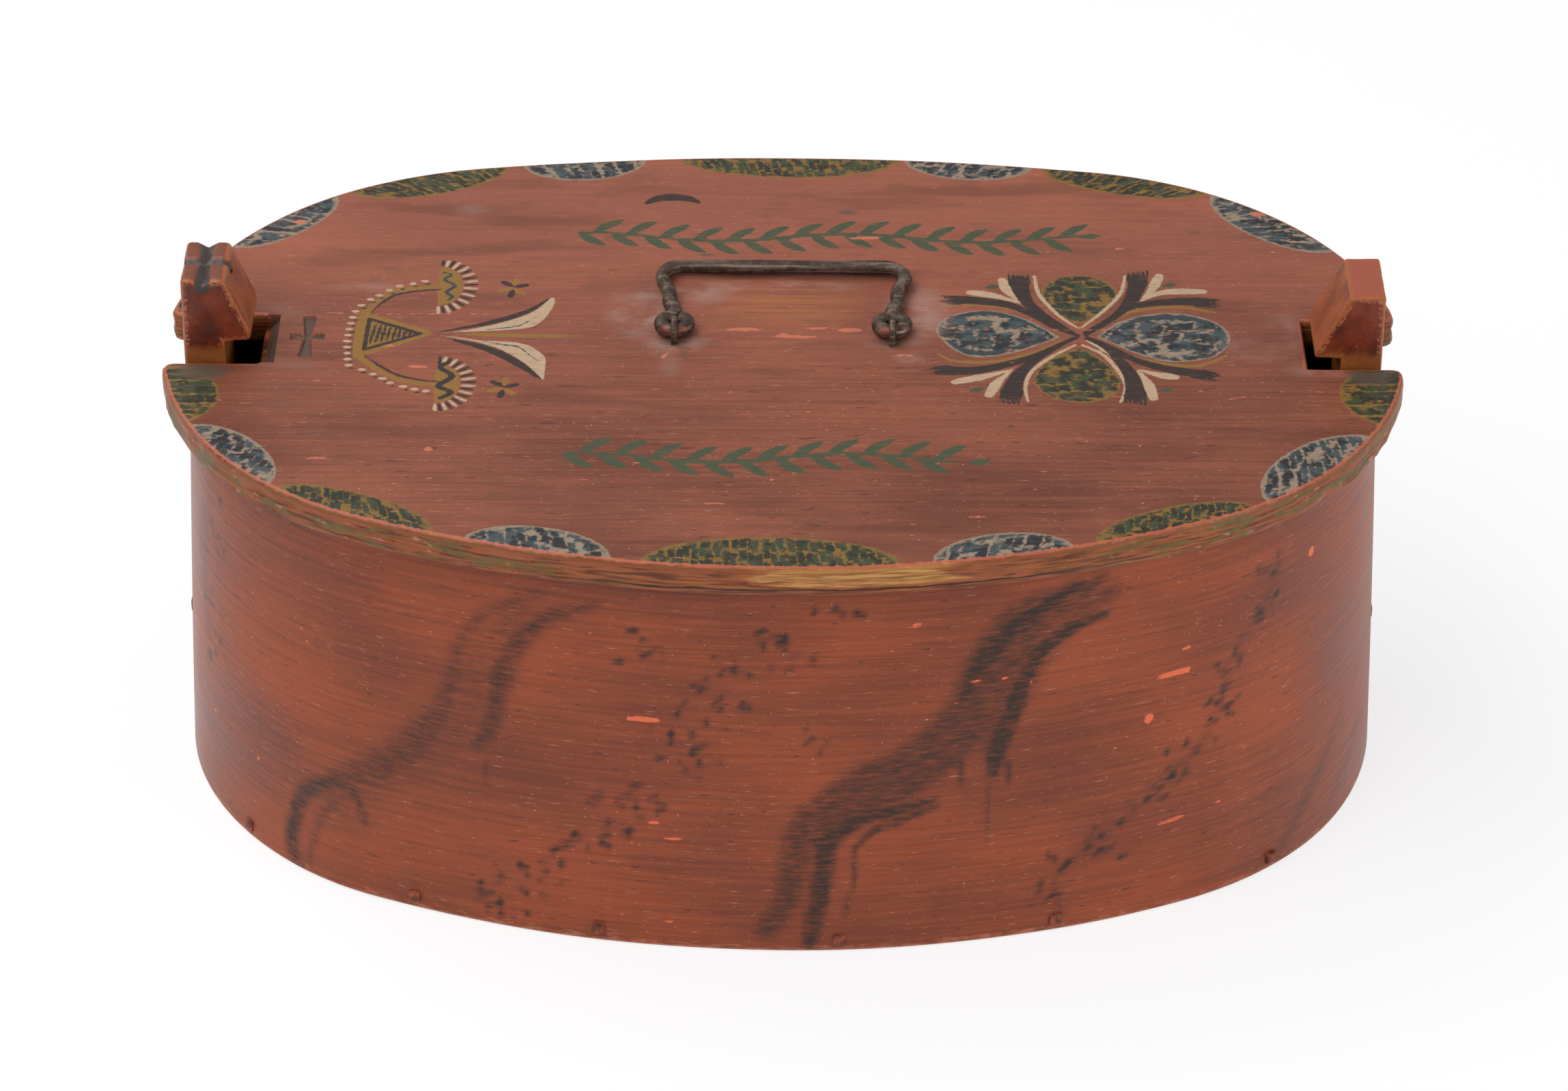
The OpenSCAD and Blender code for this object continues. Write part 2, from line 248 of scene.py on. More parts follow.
def finish(mesh, angle):
    """Brings a mesh made in millimetres to metres, and shades it smooth but for its sharp edges."""
    mesh.transform(Matrix.Scale(mm, 4))
    mesh.shade_smooth()
    mesh.set_sharp_from_angle(angle=math.radians(angle))


def sweep(points, steps=6):
    """A smooth brush path through points, as a Catmull-Rom curve."""
    p = np.array([points[0], *points, points[-1]], float)
    t = np.linspace(0, 1, steps, endpoint=False)[:, None]
    parts = []
    for a, b, c, d in zip(p, p[1:], p[2:], p[3:]):
        bend = t * ((2 * a - 5 * b + 4 * c - d) + t * (3 * b - a - 3 * c + d))
        parts.append(b + t * ((c - a) + bend) / 2)
    return np.vstack([*parts, p[-1:]])


def beside(x, y, a, b):
    """Distance from points to the line from a to b, and the share of the way along it."""
    run = np.subtract(b, a)
    share = np.clip(((x - a[0]) * run[0] + (y - a[1]) * run[1]) / max(run @ run, 1e-9), 0, 1)
    return np.hypot(x - a[0] - share * run[0], y - a[1] - share * run[1]), share


def stroke(layer, x, y, path, widths):
    """One brush stroke: each point near it keeps how many millimetres it lies inside the paint."""
    path = np.asarray(path, float)
    half = np.interp(np.linspace(0, 1, len(path)), np.linspace(0, 1, len(widths)), widths) / 2
    reach = half.max() + 6
    low, high = path.min(0) - reach, path.max(0) + reach
    near = np.flatnonzero((x > low[0]) & (x < high[0]) & (y > low[1]) & (y < high[1]))
    best = np.full(len(near), -9.0)
    for a, b, wide_a, wide_b in zip(path, path[1:], half, half[1:]):
        away, share = beside(x[near], y[near], a, b)
        best = np.maximum(best, wide_a + (wide_b - wide_a) * share - away)
    layer[near] = np.maximum(layer[near], best)


# The board is a flat sheet, one column for every 2 mm of its length, bent by giving each point its place
outer = [(inset(z), z) for z in np.linspace(0.7, wall_high - 0.9, 104)]
rim = [(inset(wall_high) + 0.35, wall_high - 0.3), (inset(wall_high) + 1.0, wall_high)]
inner_rim = [(inset(wall_high) + 3.5, wall_high), (inset(wall_high) + 4.2, wall_high - 0.3)]
inner = [(inset(z) + wall_thick, z) for z in (wall_high - 1, 104, 78, 52, 26, 0.7)]
foot = [(inset(0) + 3.9, 0.0), (inset(0) + 0.6, 0.0)]
profile = np.array([*outer, *rim, *inner_rim, *inner, *foot, outer[0]])
painted = np.array([1] * (len(outer) + len(rim)) + [0] * (len(inner_rim) + len(inner) + 1) + [1, 1])
runs = np.append(np.linspace(lap_start - 2 * half_rim, lap_start, 476), lap_start - 2 * half_rim)
bm = bmesh.new()
bmesh.ops.create_grid(bm, x_segments=len(runs) - 1, y_segments=len(profile) - 1, size=0.5)
flat = np.array([v.co for v in bm.verts]) + 0.5
column = np.rint(flat[:, 0] * (len(runs) - 1)).astype(int)
row = np.rint(flat[:, 1] * (len(profile) - 1)).astype(int)
along, z = runs[column], profile[row, 1]
past = along - runs[0]
lap = np.clip((lap_len - past) / lap_fade, 0, 1) * lap_thick
ripple = 0.16 * np.sin(along / 37 + 0.8 * np.sin(z / 41)) + 0.1 * np.sin(along / 13 + z / 29)
deep = profile[row, 0] - painted[row] * (lap + ripple * np.clip((wall_high - z) / 12, 0, 1) - skin_shy)
x, y = rim_point(along, deep)
for v, place_x, place_y, place_z in zip(bm.verts, x, y, z):
    v.co = (place_x, place_y, place_z)
bmesh.ops.remove_doubles(bm, verts=bm.verts[:], dist=0.02)
bmesh.ops.recalc_face_normals(bm, faces=bm.faces[:])
mesh = steady_mesh(bm, "painted_band")
co = places(mesh)
z = co[:, 2]
along, deep = rim_place(co[:, 0], co[:, 1])
along = np.where(along > lap_start + 0.1, along - 2 * half_rim, along)
outside = deep - inset(z) < 1.4

# Each marbled stroke: how dark, how soft, its path as rim length and height, and its widths
broken = [(160, 112), (155, 99), (146, 90), (141, 78), (137, 68), (133, 58), (125, 50), (118, 44),
          (109, 38), (100, 31), (90, 25), (84, 18), (85, 9)]
marbling = [
    (0.72, 3.4, [(-54, 118), (-70, 111), (-79, 101), (-84, 90), (-86, 81), (-89, 69), (-95, 62)],
     [2, 6, 8, 9, 8, 7, 3]),
    (0.62, 4.0, [(-72, 119), (-88, 110), (-97, 98), (-100, 84), (-105, 71), (-114, 58), (-126, 47),
                 (-138, 40), (-151, 33)], [4, 5, 6, 7, 10, 13, 13, 9, 5]),
    (0.42, 6.0, [(-78, 112), (-92, 90), (-101, 70), (-118, 51), (-146, 33)], [14, 17, 20, 20, 10]),
    (0.82, 2.4, [(-130, 26), (-134, 36), (-141, 37), (-152, 30), (-157, 19), (-159, 8), (-157, 1)],
     [2, 4, 5, 6, 7, 7, 6]),
    (0.55, 2.4, [(-137, 34), (-145, 25), (-150, 12), (-152, 2)], [3, 4, 4, 3]),
    (0.60, 0.8, [(-92, 63), (-90, 57), (-89, 47)], [1.8, 1.3, 0.8]),
    (0.70, 3.2, [(96, 121), (84, 116), (73, 110), (67, 102), (62, 93), (58, 84), (52, 75), (45, 68),
                 (35, 61), (26, 57), (16, 51), (8, 44), (4, 31), (2, 19), (-4, 8)],
     [6, 12, 18, 20, 19, 18, 18, 19, 19, 17, 14, 11, 9, 8]),
    (0.56, 4.0, [(100, 116), (86, 110), (76, 102), (70, 92), (65, 82), (60, 70)], [8, 14, 17, 18, 16, 8]),
    (0.95, 2.0, [(90, 120), (76, 113), (65, 105), (58, 95), (54, 86)], [4, 7, 8, 7, 3]),
    (0.98, 1.8, [(99, 109), (88, 106), (78, 100), (73, 90), (69, 79), (65, 68), (64, 60)],
     [2, 5, 6, 6, 7, 7, 4]),
    (0.80, 0.7, [(64, 61), (63, 50), (63, 32)], [2.6, 1.6, 0.8]),
    (0.75, 0.8, [(54, 64), (55, 53)], [3.5, 1.0]),
    (0.75, 0.8, [(67, 65), (70, 53)], [3.5, 1.0]),
    (0.92, 2.2, [(46, 52), (33, 49), (22, 46), (14, 39), (13, 30), (11, 17), (9, 3)],
     [3, 5, 6, 8, 7, 7, 5]),
    (0.75, 1.2, [(46, 50), (34, 45), (27, 42), (22, 35), (22, 25), (19, 12)], [4, 4, 3, 2.4, 2.0, 1.6]),
    (0.32, 4.0, broken, [6, 6, 5, 6, 5, 7, 5]),
    (0.50, 4.5, [(199, 40), (188, 28), (176, 17), (166, 7)], [3, 8, 9, 7]),
    (0.42, 5.0, [(216, 24), (202, 14), (190, 6)], [8, 9, 5]),
    (0.45, 6.0, [(-204, 112), (-212, 88), (-208, 58)], [6, 14, 8]),
    (0.30, 6.0, [(-190, 104), (-198, 80), (-192, 50)], [5, 10, 6]),
]
# The same brush goes on round the back: how far along, which way round, and which strokes
for shift, flip, chosen in (
        (-258, 1, (0, 1, 2)), (322, 1, (6, 7, 8, 9, 13)), (96, 1, (15,)), (-118, -1, (15,))):
    for k in chosen:
        dark, soft, path, widths = marbling[k]
        marbling.append((dark, soft, [(flip * s + shift, height) for s, height in path], widths))
soot = np.zeros(len(co))
for dark, soft, path, widths in marbling:
    field = np.full(len(co), -9.0)
    stroke(field, along, z, sweep(path), widths)
    t = np.clip(field / (2 * soft) + 0.5, 0, 1)
    soot = np.maximum(soot, dark * t * t * (3 - 2 * t))
# Fingertip dabs of the same soot, in a band that wanders down the wall and along the broken stroke
dabs = [(-6, 108), (-17, 98), (-9, 97), (-25, 92), (-18, 89), (-31, 83), (-22, 80), (-33, 74), (-26, 71),
        (-36, 67), (-28, 63), (-43, 57), (-38, 53), (-55, 51), (-48, 49), (-42, 46), (-52, 41), (-46, 39),
        (-61, 37), (-68, 31), (-58, 33), (-79, 23), (-73, 19), (-66, 26), (-86, 16), (-78, 14), (-93, 8),
        (-86, 8), (-82, 4), (0, 107), (4, 104), (10, 119), (18, 117), (1, 110), (12, 71), (-44, 110),
        (-42, 103)]
dabs += [(s + 395, height) for s, height in dabs] + [(s - 330, height) for s, height in dabs[::2]]
dabs += [(-196, 112), (-203, 101), (-198, 93), (-208, 88), (-204, 77), (-211, 70), (-202, 62), (-207, 52)]
dabs += [tuple(spot) for spot in sweep(broken, 2)]
dabs += [(s + 6.2 * math.sin(5.1 * k), height + 3.8 * math.cos(3.7 * k))
         for k, (s, height) in enumerate(dabs)]
dabs += [(s + 7.0 * math.cos(2.3 * k), height - 4.4 * math.sin(4.3 * k))
         for k, (s, height) in enumerate(dabs[::2])]
for k, (s, height) in enumerate(dabs):
    field = np.full(len(co), -9.0)
    long = 0.5 + 0.4 * math.sin(k * 2.4)
    tilt = 0.9 * math.sin(k * 1.7)
    stroke(field, along, z, [(s - long, height - tilt), (s + long, height + tilt)], [2.3, 3.3, 2.1])
    soot = np.maximum(soot, (0.78 + 0.22 * math.sin(k * 3.1)) * np.clip(field / 1.6 + 0.55, 0, 1))
keep(mesh, "soot", soot * outside)
# Places where the red came off down to an orange primer: rim length, height, length, width
chips = np.full(len(co), -9.0)
for s, height, long, wide in (
        (-41, 80, 12, 2.8), (-107, 99, 4, 2), (-129, 79, 3, 2), (-153, 87, 2.6, 2), (-151, 83, 2, 1.8),
        (-175, 31, 4, 2.2), (-203, 33, 2, 3.4), (-38, 44, 5, 2), (-32, 39, 7, 1.8), (-31, 47, 2, 2),
        (-48, 10, 3, 2), (-34, 9, 6, 2), (40, 113, 4, 3), (125, 91, 4, 2.4), (121, 83, 13, 3),
        (113, 69, 2.4, 5), (58, 92, 5, 2), (67, 92, 4, 2), (75, 89, 3, 2.2), (176, 106, 2.4, 5),
        (121, 31, 11, 2), (138, 33, 4, 2), (145, 20, 4, 2), (78, 31, 2, 2), (-230, 70, 5, 2),
        (262, 80, 6, 2.4), (330, 44, 8, 2.2), (-320, 92, 7, 2.2), (-410, 36, 9, 2), (420, 100, 6, 2)):
    reach = max(long - wide, 0.2) / 2
    stroke(chips, along, z, [(s - reach, height - 0.2), (s + reach, height + 0.2)],
           [wide * 0.6, wide, wide * 0.7])
keep(mesh, "chip", np.where(outside, np.maximum(chips, -3), -9))
corner = np.empty(len(mesh.loops), np.int32)
mesh.loops.foreach_get("vertex_index", corner)
first = np.empty(len(mesh.polygons), np.int32)
mesh.polygons.foreach_get("loop_start", first)
face = np.repeat(np.arange(len(first)), np.diff(np.append(first, len(corner))))
run = along[corner]
run = np.where(run - np.minimum.reduceat(run, first)[face] > half_rim, run - 2 * half_rim, run)
spots = np.stack([run, z[corner], 0 * run], 1) * mm
follow = mesh.attributes.new("along", "FLOAT_VECTOR", "CORNER")
follow.data.foreach_set("vector", spots.astype(np.float32).ravel())
bare = np.minimum.reduceat(outside[corner].astype(np.int32), first) == 0
mesh.polygons.foreach_set("material_index", bare.astype(np.int32))
finish(mesh, 40)


def red_coat(add, spot, light, deep_tone):
    """The red-brown coat that all the outside has: brushed along the grain, so it is streaked lengthways,
    uneven in patches a hand wide, with short dark scuffs, pale flecks and dust. Returns its colour, streaks
    and patches."""
    streak = grain(add, spot, 60, 1.6, 1.6, Detail=5.0, Roughness=0.62)
    hair = grain(add, spot, 18, 0.5, 0.5, Detail=2.0)
    patch = grain(add, spot, 70, 40, 40, Detail=5.0)
    tone = add("Math", hair, 0.15, add("Math", streak, 0.35, add("Math", patch, 0.5)))
    colour = add("Mix", add("MapRange", tone, 0.36, 0.64), deep_tone, light)
    scuff = add("MapRange", grain(add, spot, 6.5, 1.6, 1.6, Detail=4.0), 0.655, 0.7, 0, 0.6)
    colour = add("Mix", scuff, colour, "#3d221a")
    fleck = add("MapRange", grain(add, spot, 6, 0.7, 0.7, Detail=3.0), 0.63, 0.72, 0, 0.42)
    colour = add("Mix", fleck, colour, "#bf8064")
    dust = add("MapRange", grain(add, spot, 1.1, 0.8, 0.8, Detail=1.0), 0.71, 0.8, 0, 0.45)
    colour = add("Mix", dust, colour, "#c9ab98")
    return colour, streak, patch


def marbled_paint():
    """Red distemper over an orange primer, marbled with soot: matt to satin, streaked along the bent board,
    with feathered see-through dark strokes and small orange chips."""
    material, shader, add = new_material("marbled red distemper")
    spot = add("Attribute", attribute_name="along", output="Vector")
    colour, streak, patch = red_coat(add, spot, "#914322", "#692d17")
    feather = grain(add, spot, 6, 1.2, 1.2, Detail=4.0, Roughness=0.65)
    soot = add("Attribute", attribute_name="soot")
    torn = add("Math", soot, add("MapRange", feather, 0.3, 0.66, 0.6, 1.2))
    colour = add("Mix", add("MapRange", torn, 0.04, 1.1, 0, 0.97), colour, "#25170f")
    height = add("SeparateXYZ", spot, output=1)
    foot = add("MapRange", add("Math", feather, -0.012, height), -0.0038, -0.0066, 0, 0.7)
    colour = add("Mix", foot, colour, "#b26c50")
    chip = add("Math", feather, 1.4, add("Attribute", attribute_name="chip"))
    flake = add("MapRange", grain(add, spot, 5, 1.6, 1.6, Detail=2.0), 0.755, 0.78)
    lost = add("Math", add("MapRange", chip, 0.6, 0.95), flake, operation="MAXIMUM")
    colour = add("Mix", lost, colour, "#d0603c")
    relief = add("Bump", Height=add("Math", lost, -0.6, streak), Strength=0.4, Distance=0.0005)
    fill(shader, {"Base Color": colour, "Roughness": add("MapRange", patch, 0.3, 0.7, 0.4, 0.56),
                  "Specular IOR Level": 0.34, "Sheen Weight": 0.22, "Sheen Roughness": 0.3,
                  "Normal": relief})
    return material


place(mesh, "painted_band", [marbled_paint(), old_pine("old bent pine", "along")], "box", "painted_wood",
      "side_band")


# Bottom pegs and root lacing
# Square pegs split from hardwood hold the band to the bottom, driven from outside before the painting.
# Split spruce root, thin and tough, sews the lap at the back in two rows of running stitches.
def painted_peg():
    """A peg's end grain under the same red coat, blotched where grime has gathered."""
    material, shader, add = new_material("painted peg end")
    spot = add("TexCoord", output="Object")
    fibre = grain(add, spot, 2.2, 2.2, 2.2, Detail=4.0)
    colour = add("Mix", add("MapRange", fibre, 0.35, 0.7), "#55261a", "#94472c")
    relief = add("Bump", Height=fibre, Strength=0.4, Distance=0.0005)
    fill(shader, {"Base Color": colour, "Roughness": 0.55, "Specular IOR Level": 0.34, "Normal": relief})
    return material


def split_root():
    """Split root, round side out: tan, with lengthways fibres under a millimetre apart and darker skin."""
    material, shader, add = new_material("split spruce root")
    spot = add("TexCoord", output="Object")
    fibre = grain(add, spot, 0.7, 0.7, 9, Detail=3.0)
    colour = add("Mix", add("MapRange", fibre, 0.35, 0.68), "#5e3a24", "#9c6a41")
    relief = add("Bump", Height=fibre, Strength=0.5, Distance=0.0004)
    fill(shader, {"Base Color": colour, "Roughness": 0.6, "Normal": relief})
    return material


peg_red = painted_peg()
softened("bottom_pegs", "bottom_peg_ends", 0.0005, peg_red, "box", "peg_wood")
softened("lap_lacing", "root_lacing", 0.0004, split_root(), "box", "root")


# End posts
# Two upright hardwood posts stand inside the band's ends, with a hook above the lid that holds it down.
# They are sawn and whittled, painted dark red, and rubbed to amber wood along every edge. The left has a
# cut cross.
post_wide, post_inner, post_outer, hook_tip, hook_tall = 24.0, 167.8, 180.2, 159.9, 21.2
lid_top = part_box("lid_board")[1][2] / mm


def whittled(name, side, lift, top_wide, nose, crossed):
    """One post as an extruded side view, bevelled, then cut fine so that wear can be kept per vertex."""
    low = lid_top + lift
    top = low + hook_tall
    outline = [(post_inner, 9), (179.5, 9), (174.6, wall_high), (post_outer, wall_high), (post_outer, top),
               (post_outer - top_wide, top), (hook_tip, low + nose), (hook_tip, low), (post_inner, low)]
    bm = bmesh.new()
    front, back = ([bm.verts.new((x, post_line + y, z)) for x, z in outline]
                   for y in (-post_wide / 2, post_wide / 2))
    bm.faces.new(front)
    bm.faces.new(back)
    for k in range(len(outline)):
        bm.faces.new((front[k - 1], front[k], back[k], back[k - 1]))
    bmesh.ops.recalc_face_normals(bm, faces=bm.faces[:])
    hook = [e for e in bm.edges if min(v.co.z for v in e.verts) > wall_high - 1]
    bmesh.ops.bevel(bm, geom=hook, offset=1.5, offset_type="OFFSET", affect="EDGES", segments=3,
                    profile=0.5, material=-1, clamp_overlap=True)
    cuts = [((x, 0, 0), (1, 0, 0)) for x in np.arange(hook_tip, post_outer, 0.8)]
    cuts += [((0, y, 0), (0, 1, 0)) for y in post_line + np.arange(-11.6, 12, 0.8)]
    cuts += [((0, 0, z), (0, 0, 1)) for z in np.arange(wall_high + 0.4, top, 0.8)]
    for spot, way in cuts:
        bmesh.ops.bisect_plane(bm, geom=bm.verts[:] + bm.edges[:] + bm.faces[:], plane_co=spot,
                               plane_no=way, dist=0.01)
    mesh = steady_mesh(bm, name)
    co = places(mesh)
    x, y, z = co[:, 0], co[:, 1] - post_line, co[:, 2]
    gaps = [post_wide / 2 - np.abs(y)]
    gaps += [beside(x, z, a, b)[0] for a, b in zip(outline, outline[1:] + outline[:1])]
    # A vertex belongs to the face that it is nearest to, and three of the faces have a look of their own
    flank, outer_face, crown = 0, 4, 5
    nearest = np.argmin(gaps, axis=0)
    keep(mesh, "edge", np.sort(gaps, axis=0)[1])
    keep(mesh, "flank", nearest == flank)
    keep(mesh, "crown", nearest == crown)
    middle = post_outer - top_wide / 2
    reach = np.minimum(np.abs(x - middle) / (2.0 + 0.1 * np.abs(y)), np.abs(y) / 2.0)
    groove = np.clip(1 - reach, 0, 1) * (z > top - 3.0) * crossed
    keep(mesh, "groove", groove)
    hewn = np.abs([noise.noise(Vector(p) * 0.16) for p in co]) * 0.35 * (z > wall_high + 3)
    co[:, 0] -= hewn * (nearest == outer_face)
    co[:, 1] -= np.sign(y) * hewn * (nearest == flank)
    co[:, 2] -= hewn * (nearest == crown) + 1.8 * groove
    co[:, 0] *= side
    move(mesh, co)
    if side < 0:
        mesh.flip_normals()
    finish(mesh, 50)
    return mesh


def hook_paint(name, crown_tone):
    """Dark red oil paint on hardwood, polished by hands: satin, worn to amber at the edges, with a crumbly
    pinkish border of primer where the paint breaks off, and black grime in the cut cross."""
    material, shader, add = new_material(name)
    spot = add("TexCoord", output="Object")
    fine = grain(add, spot, 1.6, 1.6, 1.6, Detail=5.0, Roughness=0.65)
    broad = grain(add, spot, 9, 9, 14, Detail=3.0)
    flank, edge = add("Attribute", attribute_name="flank"), add("Attribute", attribute_name="edge")
    tone = add("MapRange", broad, 0.3, 0.7)
    crown = add("Attribute", attribute_name="crown")
    slope = add("Mix", crown, add("Mix", tone, "#74371b", "#9a5029"), crown_tone)
    face = add("Mix", tone, "#43170c", "#732c14")
    colour = add("Mix", flank, slope, face)
    colour = add("Mix", add("MapRange", fine, 0.66, 0.72, 0, 0.4), colour, "#b5846a")
    colour = add("Mix", add("MapRange", fine, 0.36, 0.28, 0, 0.6), colour, "#331a12")
    crumbs = grain(add, spot, 0.9, 0.9, 0.9, Detail=2.0)
    border = add("Math", add("MapRange", add("Math", fine, -2.4, edge), 0.9, 0.2), flank)
    crumbly = add("Math", border, add("MapRange", crumbs, 0.5, 0.58, 0.1, 0.6))
    colour = add("Mix", crumbly, colour, "#b3714f")
    rubbed = add("MapRange", add("Math", fine, -1.0, edge), 0.6, 0.1, 0, 0.85)
    colour = add("Mix", rubbed, colour, "#9a5326")
    height = add("Math", broad, -0.006, add("SeparateXYZ", spot, output=2))
    colour = add("Mix", add("MapRange", height, 0.1415, 0.1375, 0, 0.9), colour, "#854c22")
    groove = add("Attribute", attribute_name="groove")
    colour = add("Mix", add("MapRange", groove, 0.12, 0.45, 0, 0.95), colour, "#38332f")
    relief = add("Bump", Height=fine, Strength=0.3, Distance=0.0006)
    fill(shader, {"Base Color": colour, "Roughness": add("MapRange", fine, 0.3, 0.7, 0.28, 0.44),
                  "Specular IOR Level": 0.42, "Normal": relief})
    return material


place(whittled("left_hook_post", -1, 5.8, 13.2, 3.4, True), "left_hook_post",
      [hook_paint("worn red hook, left", "#6f3b29")], "box", "post_wood", "left_post")
place(whittled("right_hook_post", 1, 2.0, 10.4, 1.6, False), "right_hook_post",
      [hook_paint("worn red hook, right", "#964b35")], "box", "post_wood", "right_post")
softened("left_post_pegs", "left_peg_ends", 0.0005, peg_red, "box", "peg_wood")
softened("right_post_pegs", "right_peg_ends", 0.0005, peg_red, "box", "peg_wood")


# Lid
# A flat pine board cut to the same oval, notched at both ends for the hooks, with a ramp and a cut cross
# at the left. Over red paint it has a border of half moons, a rosette, a flower spray and two garlands,
# all done freehand in oil.
lid_shy, lid_round, tip_round, under_round = 0.08, 1.6, 3.6, 1.2
notch_half = post_wide / 2 + 1.7
left_cut, right_cut, ramp_long, ramp_shallow, ramp_fall = 158.3, 158.0, 5.2, 1.2, 5.3
cell = 1.3


def lid_depth(x, y):
    """Depth inside the lid's outline, notches and rounded horn tips included."""
    deep = rim_place(x, y)[1] - lid_shy
    beyond = np.abs(y - post_line) - notch_half
    within = np.where(x < 0, left_cut + x, right_cut - x)
    clear = np.where((beyond > 0) & (within > 0), np.hypot(beyond, within), np.maximum(beyond, within))
    horn = tip_round - np.hypot(np.maximum(tip_round - deep, 0), np.maximum(tip_round - clear, 0))
    least = np.minimum(deep, clear)
    return np.where(least < tip_round, horn, least)


def outwards(x, y):
    """The direction out of the lid's outline at each point."""
    step = 0.05
    slope_x = lid_depth(x - step, y) - lid_depth(x + step, y)
    slope_y = lid_depth(x, y - step) - lid_depth(x, y + step)
    size = np.maximum(np.hypot(slope_x, slope_y), 1e-6)
    return slope_x / size, slope_y / size


def ramp_drop(x, y):
    """How far the sloped floor at the left notch lies under the lid's top."""
    share = np.clip((ramp_long - left_cut - x) / ramp_long, 0, 1)
    there = (x < ramp_long - left_cut) & (np.abs(y - post_line) < notch_half) & (x > -left_cut - 3)
    return np.where(there, ramp_shallow + ramp_fall * share, 0.0)


def drawn_out(bm, lip, out_by, down_by, level=None):
    """Draws the lid's open lip out and down by one ring, or down to a level, and returns the new lip."""
    grown = bmesh.ops.extrude_edge_only(bm, edges=lip)["geom"]
    lip = [g for g in grown if isinstance(g, bmesh.types.BMEdge) and len(g.link_faces) == 1]
    verts = list(dict.fromkeys(v for e in lip for v in e.verts))
    flat = np.array([v.co for v in verts])
    out_x, out_y = outwards(flat[:, 0], flat[:, 1])
    for v, x, y in zip(verts, out_x, out_y):
        fall = down_by if level is None else down_by * (v.co.z - level)
        v.co += Vector((x * out_by, y * out_by, -fall))
    return lip


bm = bmesh.new()
wide, tall = 292, 188
bmesh.ops.create_grid(bm, x_segments=wide, y_segments=tall, size=0.5,
                      matrix=Matrix.Diagonal((wide * cell, tall * cell, 1, 1)))
# The painted figures and the cut places need finer cells
for x0, y0, x1, y1 in ((43, -33, 138, 50), (-161, -36, -67, 53), (-161, -10, -135, 22)):
    fine = [e for e in bm.edges if all(x0 < v.co.x < x1 and y0 < v.co.y < y1 for v in e.verts)]
    bmesh.ops.subdivide_edges(bm, edges=fine, cuts=1, use_grid_fill=True)
flat = np.array([v.co for v in bm.verts])
inside = lid_depth(flat[:, 0], flat[:, 1])
stray = [v for v, deep in zip(bm.verts, inside) if deep < lid_round - 0.35]
bmesh.ops.delete(bm, geom=stray, context="VERTS")
lip = [e for e in bm.edges if len(e.link_faces) == 1]
verts = list(dict.fromkeys(v for e in lip for v in e.verts))
flat = np.array([v.co for v in verts])
for _ in range(3):
    out_x, out_y = outwards(flat[:, 0], flat[:, 1])
    off = lid_depth(flat[:, 0], flat[:, 1]) - lid_round
    flat[:, 0] += out_x * off
    flat[:, 1] += out_y * off
for v, spot in zip(verts, flat):
    v.co = spot
bmesh.ops.dissolve_degenerate(bm, dist=0.02, edges=lip)
for v in bm.verts:
    v.co.z = lid_top - ramp_drop(v.co.x, v.co.y)
# The worn edge: the outline is drawn out and down in rings, then closed underneath
lip = [e for e in bm.edges if len(e.link_faces) == 1]
turns = np.radians((0, 30, 60, 90))
for a, b in zip(turns, turns[1:]):
    out_by, down_by = math.sin(b) - math.sin(a), math.cos(a) - math.cos(b)
    lip = drawn_out(bm, lip, lid_round * out_by, lid_round * down_by)
for share in (0.2, 0.25, 0.34, 0.5, 1.0):
    lip = drawn_out(bm, lip, 0, share, wall_high + under_round)
lip = drawn_out(bm, lip, -under_round, under_round)
bmesh.ops.triangle_fill(bm, use_beauty=True, use_dissolve=False, edges=lip, normal=(0, 0, -1))
bmesh.ops.recalc_face_normals(bm, faces=bm.faces[:])
mesh = steady_mesh(bm, "painted_lid")
co = places(mesh)
x, y = co[:, 0], co[:, 1]
fall = lid_top - co[:, 2]
rim_s, rim_d = rim_place(x, y)
deep = lid_depth(x, y)
on_ramp = ramp_drop(x, y) > 0

# The flared cross cut into the lid beside the left notch
cross_x, cross_y, cross_deep = -144.1, post_line + 1.6, 1.2
long_half, short_half, waist_half, end_half = 11.5, 5.0, 0.8, 1.9
u, v = np.abs(x - cross_x), np.abs(y - cross_y)
long_arm = np.minimum(waist_half + (end_half - waist_half) * v / long_half - u, long_half - v)
short_arm = np.minimum(waist_half + (end_half - waist_half) * u / short_half - v, short_half - u)
cut = np.clip(2 * np.maximum(long_arm, short_arm) + 0.5, 0, 1) * (fall < 0.01)
# A board this old is never quite flat, and its edge is whittled
sag = 0.12 * np.sin(x / 47 + 1) * np.sin(y / 31) + 0.05 * np.sin(x / 11 + y / 17) + 0.17
co[:, 2] -= cross_deep * cut + sag * (co[:, 2] > wall_high + 2)
chop = np.abs([noise.noise(Vector((s * 0.09, z * 0.25, 3.0))) for s, z in zip(rim_s, co[:, 2])])
chop *= 0.9 * (rim_d < 1.2) * (fall > 0.4)
out_x, out_y = outwards(x, y)
co[:, 0] -= out_x * chop
co[:, 1] -= out_y * chop
move(mesh, co)

# The paint is kept as layers: for each vertex, how many millimetres it lies inside the paint
layers = {name: np.full(len(co), -9.0) for name in
          ("green", "ochre", "olive", "pale", "slate", "ink", "blue", "chip")}
brush = np.stack([rim_s, co[:, 2]], 1)


def line(layer, points, *widths):
    """A brush line through points of the lid."""
    stroke(layers[layer], x, y, sweep(points, 4), widths)


def touch(layer, px, py, turn, long, *widths):
    """One short touch of the brush about a point of the lid, turned from the X axis in degrees."""
    step = np.array([math.cos(math.radians(turn)), math.sin(math.radians(turn))]) * long / 2
    middle = np.array([px, py])
    stroke(layers[layer], x, y, [middle - step, middle, middle + step], widths)


